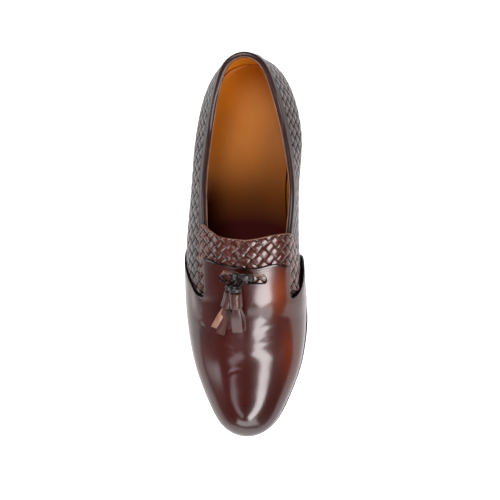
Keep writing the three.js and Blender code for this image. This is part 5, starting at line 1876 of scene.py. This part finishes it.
@dataclass
class Bottom:
    """The outsole, the stacked heel and its rubber top piece."""

    workshop: Workshop
    lifts: int = 3
    groove: float = 0.35 * MM
    taper: float = 2.4 * MM
    breast_curve: float = 4 * MM

    def margin(self, station: float) -> float:
        """How far the sole's edge stands out from the upper's foot."""
        sizes = self.workshop.sizes
        waist = smooth((station - 0.36) / 0.14)
        heel = smooth((station - 0.66) / 0.1)
        return float(sizes.toe_edge + (sizes.waist_edge - sizes.toe_edge) * waist + 0.72 * MM * heel)

    def build(self) -> None:
        """Build the sole and heel."""
        last, sizes = self.workshop.last, self.workshop.sizes
        rings = []
        for station in np.linspace(0.012, 0.988, 120):
            medial = last.layer_edge(station, 1, self.margin(station))
            lateral = last.layer_edge(station, -1, self.margin(station))
            y = (medial[1] + lateral[1]) / 2
            high = float(last.sole_top(y))
            rings.append(self._ring(lateral[0], medial[0], y, high - sizes.outsole, high))
        sole = Bench.tube("outsole_leather", np.array(rings))
        self.workshop.deliver(sole, SOLE_LEATHER, Slot.SOLE, ["outsole"], 50)
        top = sizes.heel_lift - sizes.gap
        height = (top - sizes.top_piece) / self.lifts
        levels = []
        for lift in range(self.lifts):
            low = sizes.top_piece + lift * height
            levels += [(low, self.groove), (low + self.groove, 0.0), (low + height - self.groove, 0.0)]
            levels.append((low + height, self.groove))
        self._stack("heel_stack", levels, top, SOLE_LEATHER, Slot.SOLE, "heel")
        piece = [(0.0, 0.7 * MM), (0.25 * MM, 0.25 * MM), (0.8 * MM, 0.0)]
        piece.append((sizes.top_piece - 0.3 * MM, 0.0))
        piece.append((sizes.top_piece - 0.02 * MM, 0.3 * MM))
        self._stack("top_piece_rubber", piece, top, HEEL_RUBBER, Slot.RUBBER, "heel_top_piece")

    @staticmethod
    def _ring(left: float, right: float, y: float, low: float, high: float) -> np.ndarray:
        """The sole's section: flat faces and an edge rounded below and above."""
        below, above = 1.1 * MM, 0.6 * MM
        half = (right - left) / 2
        below, above = min(below, half * 0.6), min(above, half * 0.4)
        turn = np.linspace(0, math.pi / 2, 4)
        ring = [(right - below + below * math.sin(a), low + below - below * math.cos(a)) for a in turn]
        ring += [(right - above + above * math.cos(a), high - above + above * math.sin(a)) for a in turn]
        ring += [(left + above - above * math.sin(a), high - above + above * math.cos(a)) for a in turn]
        ring += [(left + below - below * math.cos(a), low + below - below * math.sin(a)) for a in turn]
        return np.array([(x, y, z) for x, z in ring])

    def outline(self, inset: float) -> np.ndarray:
        """The heel's outline seen from above."""
        last, sizes = self.workshop.last, self.workshop.sizes
        front = sizes.length / 2 - sizes.heel_length
        stations = np.linspace(0.5, 1, 500)
        start = next(station for station in stations if last.feather(station, 1)[1] >= front)
        shares = np.sin(np.linspace(0, math.pi / 2, 34)) ** 0.8
        places = start + (1 - start) * shares
        medial = [last.layer_edge(place, 1, self.margin(1) - inset) for place in places]
        lateral = [last.layer_edge(place, -1, self.margin(1) - inset) for place in places]
        points = medial + lateral[::-1][1:]
        first, final = points[0], points[-1]
        for share in np.linspace(0, 1, 12)[1:-1]:
            point = final + (first - final) * share
            point = point + np.array([0, self.breast_curve * 4 * share * (1 - share), 0])
            points.append(point)
        return np.array(points)

    def _stack(
        self,
        name: str,
        levels: Sequence[tuple[float, float]],
        top: float,
        leather: Leather,
        slot: Slot,
        node: str,
    ) -> None:
        """Build a stack of layers from heights and how far each is drawn in."""
        rings = []
        for height, inset in levels:
            ring = self.outline(self.taper * (1 - height / top) + inset)
            ring[:, 2] = height
            rings.append(ring)
        piece = Bench.tube(name, np.array(rings))
        self.workshop.deliver(piece, leather, slot, [node], 30)


@dataclass(frozen=True)
class Strip:
    """A strip of a tassel's skirt."""

    angle: float
    curl: float
    lift: float
    length: float
    width: float
    twist: float = 0.0
    leather: Leather = TASSEL_LEATHER


@dataclass(frozen=True)
class TasselPlan:
    """Where a tassel lies and how its strips fall."""

    name: str
    across: float
    along: float
    turn: float
    tilt: float
    height: float
    side: float
    strips: tuple[Strip, ...]


TASSELS = (
    TasselPlan(
        "tassel_a", -0.043, -0.1, 0.03, 0.08, 13.2 * MM, 2.8 * MM,
        (
            Strip(-0.03, 0.02, -0.8 * MM, 1.02, 7.9 * MM),
            Strip(0.34, -0.46, -1.8 * MM, 0.92, 5.0 * MM, 0.7),
            Strip(-0.18, 0.12, -2.6 * MM, 0.84, 4.8 * MM, -0.2),
        ),
    ),
    TasselPlan(
        "tassel_b", -0.078, -0.1, -0.31, -0.04, 4.4 * MM, -1.6 * MM,
        (
            # painted highlight: this strip is made of the pale piping leather because it catches the light; the
            # tassel's other strips are its own dark leather
            Strip(-0.17, -0.06, 1.0 * MM, 0.90, 4.6 * MM, -0.3, EDGE_PIPING),
            Strip(0.04, 0.0, 0.4 * MM, 1.06, 6.7 * MM, 0.1),
            Strip(0.34, 0.06, 0.2 * MM, 0.80, 4.6 * MM, 0.2),
        ),
    ),
)


@dataclass
class Ties:
    """The flat lace through the slots and the two tassels that hang from it."""

    workshop: Workshop
    vamp: Vamp
    width: float = 5.2 * MM
    thickness: float = 1.5 * MM
    bow: float = 6.5 * MM
    inset: float = 2.2 * MM
    thong: float = 2.4 * MM
    head_length: float = 13 * MM
    head_width: float = 9.4 * MM
    knot_length: float = 7 * MM
    knot_width: float = 10.2 * MM
    knot_height: float = 7.8 * MM
    strip_length: float = 22.5 * MM
    strip_thickness: float = 1.15 * MM

    def _lace_point(self, share: float) -> np.ndarray:
        """Middle of the lace at a share of its way between the slots."""
        sizes, last = self.workshop.sizes, self.workshop.last
        left, right = (
            np.array([slot.across * sizes.ball_width, slot.along * sizes.length])
            for slot in self.vamp.slot_centres
        )
        start, end = left[0] + self.inset, right[0] - self.inset
        angle = math.pi * share
        round_x = math.copysign(abs(math.cos(angle)) ** 0.55, math.cos(angle))
        x = (start + end) / 2 - (end - start) / 2 * round_x
        y = left[1] + (right[1] - left[1]) * share
        level = sizes.overlay + 3 * sizes.gap + self.thickness / 2
        z = last.instep_height(x, y) + level
        z += (self.bow + sizes.overlay + sizes.gap) * math.sin(angle)
        return np.array([x, y, z])

    def build(self) -> None:
        """Build the lace, the slots' rims and the tassels."""
        last = self.workshop.last
        rings = []
        for share in np.linspace(0, 1, 41):
            centre = self._lace_point(share)
            along = self._lace_point(min(1, share + 0.02)) - self._lace_point(max(0, share - 0.02))
            along[1] = 0
            along /= np.linalg.norm(along)
            out = np.array([-along[2], 0, along[0]]) * self.thickness / 2
            behind = last.instep_height(centre[0], centre[1] + self.width / 2)
            before = last.instep_height(centre[0], centre[1] - self.width / 2)
            wide = np.array([0, self.width / 2, (behind - before) / 2])
            rings.append(np.array([
                centre + wide * a + out * b for a, b in (
                    (-0.86, -1), (-1, -0.55), (-1, 0.55), (-0.86, 1), (0, 1.12),
                    (0.86, 1), (1, 0.55), (1, -0.55), (0.86, -1), (0, -0.9),
                )
            ]))
        lace = Bench.tube("lace", np.array(rings))
        self.workshop.deliver(lace, SHADED_KNOT_LEATHER, Slot.TASSEL, ["tie_strap"], 60)
        self._slot_rims()
        for plan in TASSELS:
            self._tassel(plan)

    def _slot_rims(self) -> None:
        """Lay a fine bright rim round each slot."""
        for side, centre in zip(Side, self.vamp.slot_centres):
            outline = resample(np.vstack([
                self.vamp.slot_outline(centre, 0.1 * MM), self.vamp.slot_outline(centre, 0.1 * MM)[:1]
            ]), 80)[:-1]
            path = []
            for x, y in outline:
                spot = self.vamp.tree.ray_cast(Vector((x, y, 0.2)), Vector((0, 0, -1)))[0]
                if spot is None or spot.z < 0.04:
                    spot = self.vamp.tree.find_nearest(Vector((x, y, 0.08)))[0]
                path.append(np.array(spot[:]))
            path = np.array(path)
            closed = np.vstack([path[-1:], path, path[:1]])
            ups = np.tile([[0.0, -0.35, 1.0]], (len(closed), 1))
            rings = flat_tube(closed, ups, 0.55 * MM, 0.5 * MM, 8)
            rim = Bench.tube(f"slot_rim_{side.name.lower()}", rings[1:-1], closed=True)
            self.workshop.deliver(rim, EDGE_PIPING, Slot.POLISHED, [], 80)

    def _tassel(self, plan: TasselPlan) -> None:
        """Build one tassel: thong, knot, wrapped head and skirt."""
        last, sizes = self.workshop.last, self.workshop.sizes
        x, y = plan.across * sizes.ball_width, plan.along * sizes.length
        lift = sizes.gap + sizes.overlay
        ground = last.instep_height(x, y) + 2 * lift
        run = 31.5 * MM
        slope = math.atan2(last.instep_height(x, y) - last.instep_height(x, y - run), run)
        turn = Matrix.Rotation(plan.turn, 4, "Z") @ Matrix.Rotation(slope + plan.tilt, 4, "X")
        place = Matrix.Translation((x, y, ground + plan.height)) @ turn

        def settle(points: np.ndarray) -> np.ndarray:
            flat = points.reshape(-1, 3)
            moved = np.array([(place @ Vector(point))[:] for point in flat])
            return moved.reshape(points.shape)

        knot = self._knot(settle)
        knot.name = f"{plan.name}_knot"
        self.workshop.deliver(knot, SHADED_KNOT_LEATHER, Slot.TASSEL, [plan.name], 60)
        head = Bench.tube(f"{plan.name}_head", settle(self._head()))
        self.workshop.deliver(head, TASSEL_LEATHER, Slot.TASSEL, [plan.name], 50)
        for number, strip in enumerate(plan.strips, 1):
            rings = settle(self._strip(strip))
            piece = Bench.tube(f"{plan.name}_strip_{number}", rings)
            Bench.modify(piece, "BEVEL", width=0.22 * MM, segments=2, limit_method="ANGLE",
                         angle_limit=math.radians(50))
            self.workshop.deliver(piece, strip.leather, Slot.TASSEL, [plan.name], 50)
        self._thong(plan, place, ground)

    def _knot(self, settle: Callable[[np.ndarray], np.ndarray]) -> bpy.types.Object:
        """The knot over the head: a bead of leather with wound ridges."""
        around = np.linspace(0, 2 * math.pi, 40, endpoint=False)
        rings = []
        for share in np.linspace(0.04, 0.96, 25):
            angle = math.pi * share
            ridge = 1 + 0.06 * np.sin(2 * around + 9 * angle)
            rings.append(np.stack([
                np.cos(around) * math.sin(angle) ** 0.8 * self.knot_width / 2 * ridge,
                np.full(40, math.cos(angle) * self.knot_length / 2),
                np.sin(around) * math.sin(angle) ** 0.8 * self.knot_height / 2 * ridge,
            ], axis=1))
        return Bench.tube("knot", settle(np.array(rings)))

    def _head(self) -> np.ndarray:
        """The wrapped head: a rolled strap, a little waisted, with the step of its lap."""
        around = np.linspace(0, 2 * math.pi, 48, endpoint=False)
        start = -self.knot_length / 2 + 1.0 * MM
        rings = []
        for share, scale in (
            (0.0, 0.72), (0.02, 0.92), (0.07, 1.0), (0.3, 0.97), (0.6, 0.95), (0.93, 0.98),
            (0.98, 0.94), (1.0, 0.80),
        ):
            lap = 1 + 0.07 * smooth((around - 4.2) / 0.3) - 0.07 * smooth((around - 5.9) / 0.5)
            radius = self.head_width / 2 * scale * lap
            rings.append(np.stack([
                np.cos(around) * radius,
                np.full(48, start - share * self.head_length),
                np.sin(around) * radius * 0.9,
            ], axis=1))
        return np.array(rings)

    def _strip(self, strip: Strip) -> np.ndarray:
        """One strip of the skirt, square at its end."""
        rings = []
        start = -(self.knot_length / 2 + self.head_length - 2.5 * MM)
        for share in np.linspace(0, 1, 22):
            reach = self.strip_length * strip.length * share
            angle = strip.angle + strip.curl * share / 2
            x = math.sin(angle) * reach + math.sin(strip.angle) * 4 * MM
            y = start - math.cos(angle) * reach
            z = strip.lift * share**2 + 0.5 * MM * math.sin(share * 5.0 + strip.angle * 7)
            turn = strip.angle + strip.curl * share
            roll = strip.twist * share
            flat, rise = math.cos(roll), math.sin(roll)
            across = np.array([math.cos(turn) * flat, math.sin(turn) * flat, rise])
            up = np.array([-math.cos(turn) * rise, -math.sin(turn) * rise, flat])
            half = strip.width / 2 * (0.55 + 0.45 * min(1.0, share * 2.2))
            thick = self.strip_thickness / 2
            centre = np.array([x, y, z])
            rings.append(np.array([
                centre - across * half - up * thick, centre - up * thick * 1.15,
                centre + across * half - up * thick, centre + across * half + up * thick,
                centre + up * thick * 0.85, centre - across * half + up * thick,
            ]))
        return np.array(rings)

    def _thong(self, plan: TasselPlan, place: Matrix, ground: float) -> None:
        """The thong from the knot up under the lace."""
        sizes = self.workshop.sizes
        under = self._lace_point(0.5)
        under[0] += plan.side
        under[2] -= self.thickness / 2 + 3 * sizes.gap + self.thong / 2
        left = self.vamp.slot_centres[0].along * sizes.length
        rise = np.array([under[0] - self.thong, left - self.width / 2 - self.thong, 0])
        rise[2] = max(under[2] - self.thong, ground + self.thong)
        knot = np.array((place @ Vector((0, 0, 0)))[:])
        path = np.array([knot, rise, under])
        shares = np.linspace(0, 1, 24)[:, None]
        curve = (1 - shares) ** 2 * path[0] + 2 * shares * (1 - shares) * path[1] + shares**2 * path[2]
        curve[:, 2] += 1.2 * MM * np.sin(shares[:, 0] * math.pi)
        ups = np.tile([[1.0, 0.0, 0.2]], (24, 1))
        piece = Bench.tube(f"{plan.name}_thong", flat_tube(curve, ups, self.thong, self.thong, 10))
        self.workshop.deliver(piece, SHADED_KNOT_LEATHER, Slot.TASSEL, [plan.name], 60)


def sew_vamp(workshop: Workshop, vamp: Vamp) -> None:
    """Sew the two rows of stitches along the vamp's cut edges."""
    for side in Side:
        path = resample(vamp.edge_path(side), 320)
        spots = np.array([vamp.tree.find_nearest(Vector(point))[0][:] for point in path])
        normals = np.array([vamp.tree.find_nearest(Vector(point))[1][:] for point in path])
        along = np.gradient(spots, axis=0)
        inward = np.cross(normals, along) * (1 if side is Side.MEDIAL else -1)
        inward /= np.maximum(np.linalg.norm(inward, axis=1, keepdims=True), 1e-9)
        kernel = np.ones(9) / 9
        for axis in range(3):
            inward[:, axis] = np.convolve(np.pad(inward[:, axis], 4, mode="edge"), kernel, mode="valid")
        inward /= np.linalg.norm(inward, axis=1, keepdims=True)
        for number, inset in enumerate((1.7 * MM, 3.7 * MM), 1):
            name = f"vamp_seam_{side.name.lower()}_{number}"
            Seam(workshop, vamp.tree).row(name, spots, inward, inset)


@dataclass
class Studio:
    """The camera at the photograph's angle, the soft boxes and the floor."""

    eye: tuple[float, float, float] = (0.0695, -0.002, 0.880)
    aim: tuple[float, float, float] = (0.0005, -0.001, 0.0)
    field: float = 0.405

    def camera(self) -> None:
        """Set the camera over the shoe, rolled so that the toe points down the picture."""
        data = bpy.data.cameras.new("camera")
        camera = bpy.data.objects.new("camera", data)
        bpy.context.collection.objects.link(camera)
        eye, aim = Vector(self.eye), Vector(self.aim)
        forward = (aim - eye).normalized()
        up = Vector((0, 1, 0))
        right = forward.cross(up).normalized()
        up = right.cross(forward)
        camera.matrix_world = Matrix((
            (right.x, up.x, -forward.x, eye.x),
            (right.y, up.y, -forward.y, eye.y),
            (right.z, up.z, -forward.z, eye.z),
            (0, 0, 0, 1),
        ))
        data.sensor_width = 36
        data.lens = 36 * (eye - aim).length / self.field
        data.clip_start = 0.05
        data.clip_end = 10
        bpy.context.scene.camera = camera

    @staticmethod
    def soft_box(
        name: str, place: Sequence[float], size: Sequence[float], power: float, colour: Colour
    ) -> None:
        """Hang a soft box that faces the shoe."""
        data = bpy.data.lights.new(name, "AREA")
        data.shape = "RECTANGLE"
        data.size, data.size_y = size
        data.energy = power
        data.color = colour
        lamp = bpy.data.objects.new(name, data)
        bpy.context.collection.objects.link(lamp)
        lamp.location = place
        aim = Vector((0, -0.03, 0.04)) - Vector(place)
        lamp.rotation_euler = aim.to_track_quat("-Z", "Y").to_euler()

    def light(self) -> None:
        """Place the soft boxes and the pale surroundings."""
        self.soft_box("main_box", (0.62, -0.86, 1.02), (0.85, 0.50), 17.0, (1.0, 0.955, 0.97))
        self.soft_box("toe_box", (0.0, -1.30, 0.52), (1.7, 0.62), 12.0, (0.97, 0.985, 1.0))
        self.soft_box("fill_box", (-0.55, -0.75, 1.10), (0.6, 0.3), 1.6, (0.95, 0.90, 1.0))
        self.soft_box("left_box", (-1.20, -0.10, 0.42), (0.9, 0.5), 5.5, (0.90, 0.94, 1.0))
        self.soft_box("right_box", (1.25, 0.25, 0.50), (0.8, 0.4), 2.0, (1.0, 0.96, 0.93))
        self.soft_box("top_box", (-0.25, 0.45, 1.50), (0.7, 0.7), 12.0, (1.0, 0.99, 0.97))
        world = bpy.data.worlds.new("studio")
        world.use_nodes = True
        self._pale_backdrop(world)
        world.node_tree.nodes["Background"].inputs["Color"].default_value = (0.9, 0.92, 0.95, 1)
        world.node_tree.nodes["Background"].inputs["Strength"].default_value = 0.04
        bpy.context.scene.world = world
        bpy.context.scene.view_settings.view_transform = "Standard"

    @staticmethod
    def _pale_backdrop(world: bpy.types.World) -> None:
        """Let the camera see a pale backdrop beyond the floor."""
        nodes, links = world.node_tree.nodes, world.node_tree.links
        rays = nodes.new("ShaderNodeLightPath")
        backdrop = nodes.new("ShaderNodeBackground")
        backdrop.inputs["Color"].default_value = (1, 1, 1, 1)
        mix = nodes.new("ShaderNodeMixShader")
        links.new(rays.outputs["Is Camera Ray"], mix.inputs["Fac"])
        links.new(nodes["Background"].outputs["Background"], mix.inputs[1])
        links.new(backdrop.outputs["Background"], mix.inputs[2])
        links.new(mix.outputs["Shader"], nodes["World Output"].inputs["Surface"])

    def floor(self) -> None:
        """Lay the pale floor."""
        bpy.ops.object.select_all(action="DESELECT")
        bpy.ops.mesh.primitive_plane_add(size=60)
        floor = bpy.context.object
        floor.name = "floor"
        material = bpy.data.materials.new("studio_floor")
        material.use_nodes = True
        paint = material.node_tree.nodes["Principled BSDF"]
        paint.inputs["Base Color"].default_value = (0.92, 0.92, 0.92, 1)
        paint.inputs["Roughness"].default_value = 0.85
        paint.inputs["Emission Color"].default_value = (1, 1, 1, 1)
        rays = material.node_tree.nodes.new("ShaderNodeLightPath")
        glow = material.node_tree.nodes.new("ShaderNodeMapRange")
        glow.inputs["To Min"].default_value = 0.12
        glow.inputs["To Max"].default_value = 0.85
        material.node_tree.links.new(rays.outputs["Is Camera Ray"], glow.inputs["Value"])
        material.node_tree.links.new(glow.outputs["Result"], paint.inputs["Emission Strength"])
        floor.data.materials.append(material)


def main() -> None:
    """Build the shoe piece by piece."""
    logging.basicConfig(level=logging.INFO, format="%(name)s %(message)s")
    np.random.seed(SEED)
    studio = Studio()
    studio.camera()
    studio.light()
    studio.floor()
    workshop = Workshop()
    vamp = Vamp(workshop)
    vamp.build()
    sew_vamp(workshop, vamp)
    plait = PlaitShape()
    Quarters(workshop, vamp, plait).build()
    Tongue(workshop, plait).build()
    Interior(workshop).build()
    Collar(workshop).build()
    Bottom(workshop).build()
    Ties(workshop, vamp).build()


if __name__ == "__main__":
    main()
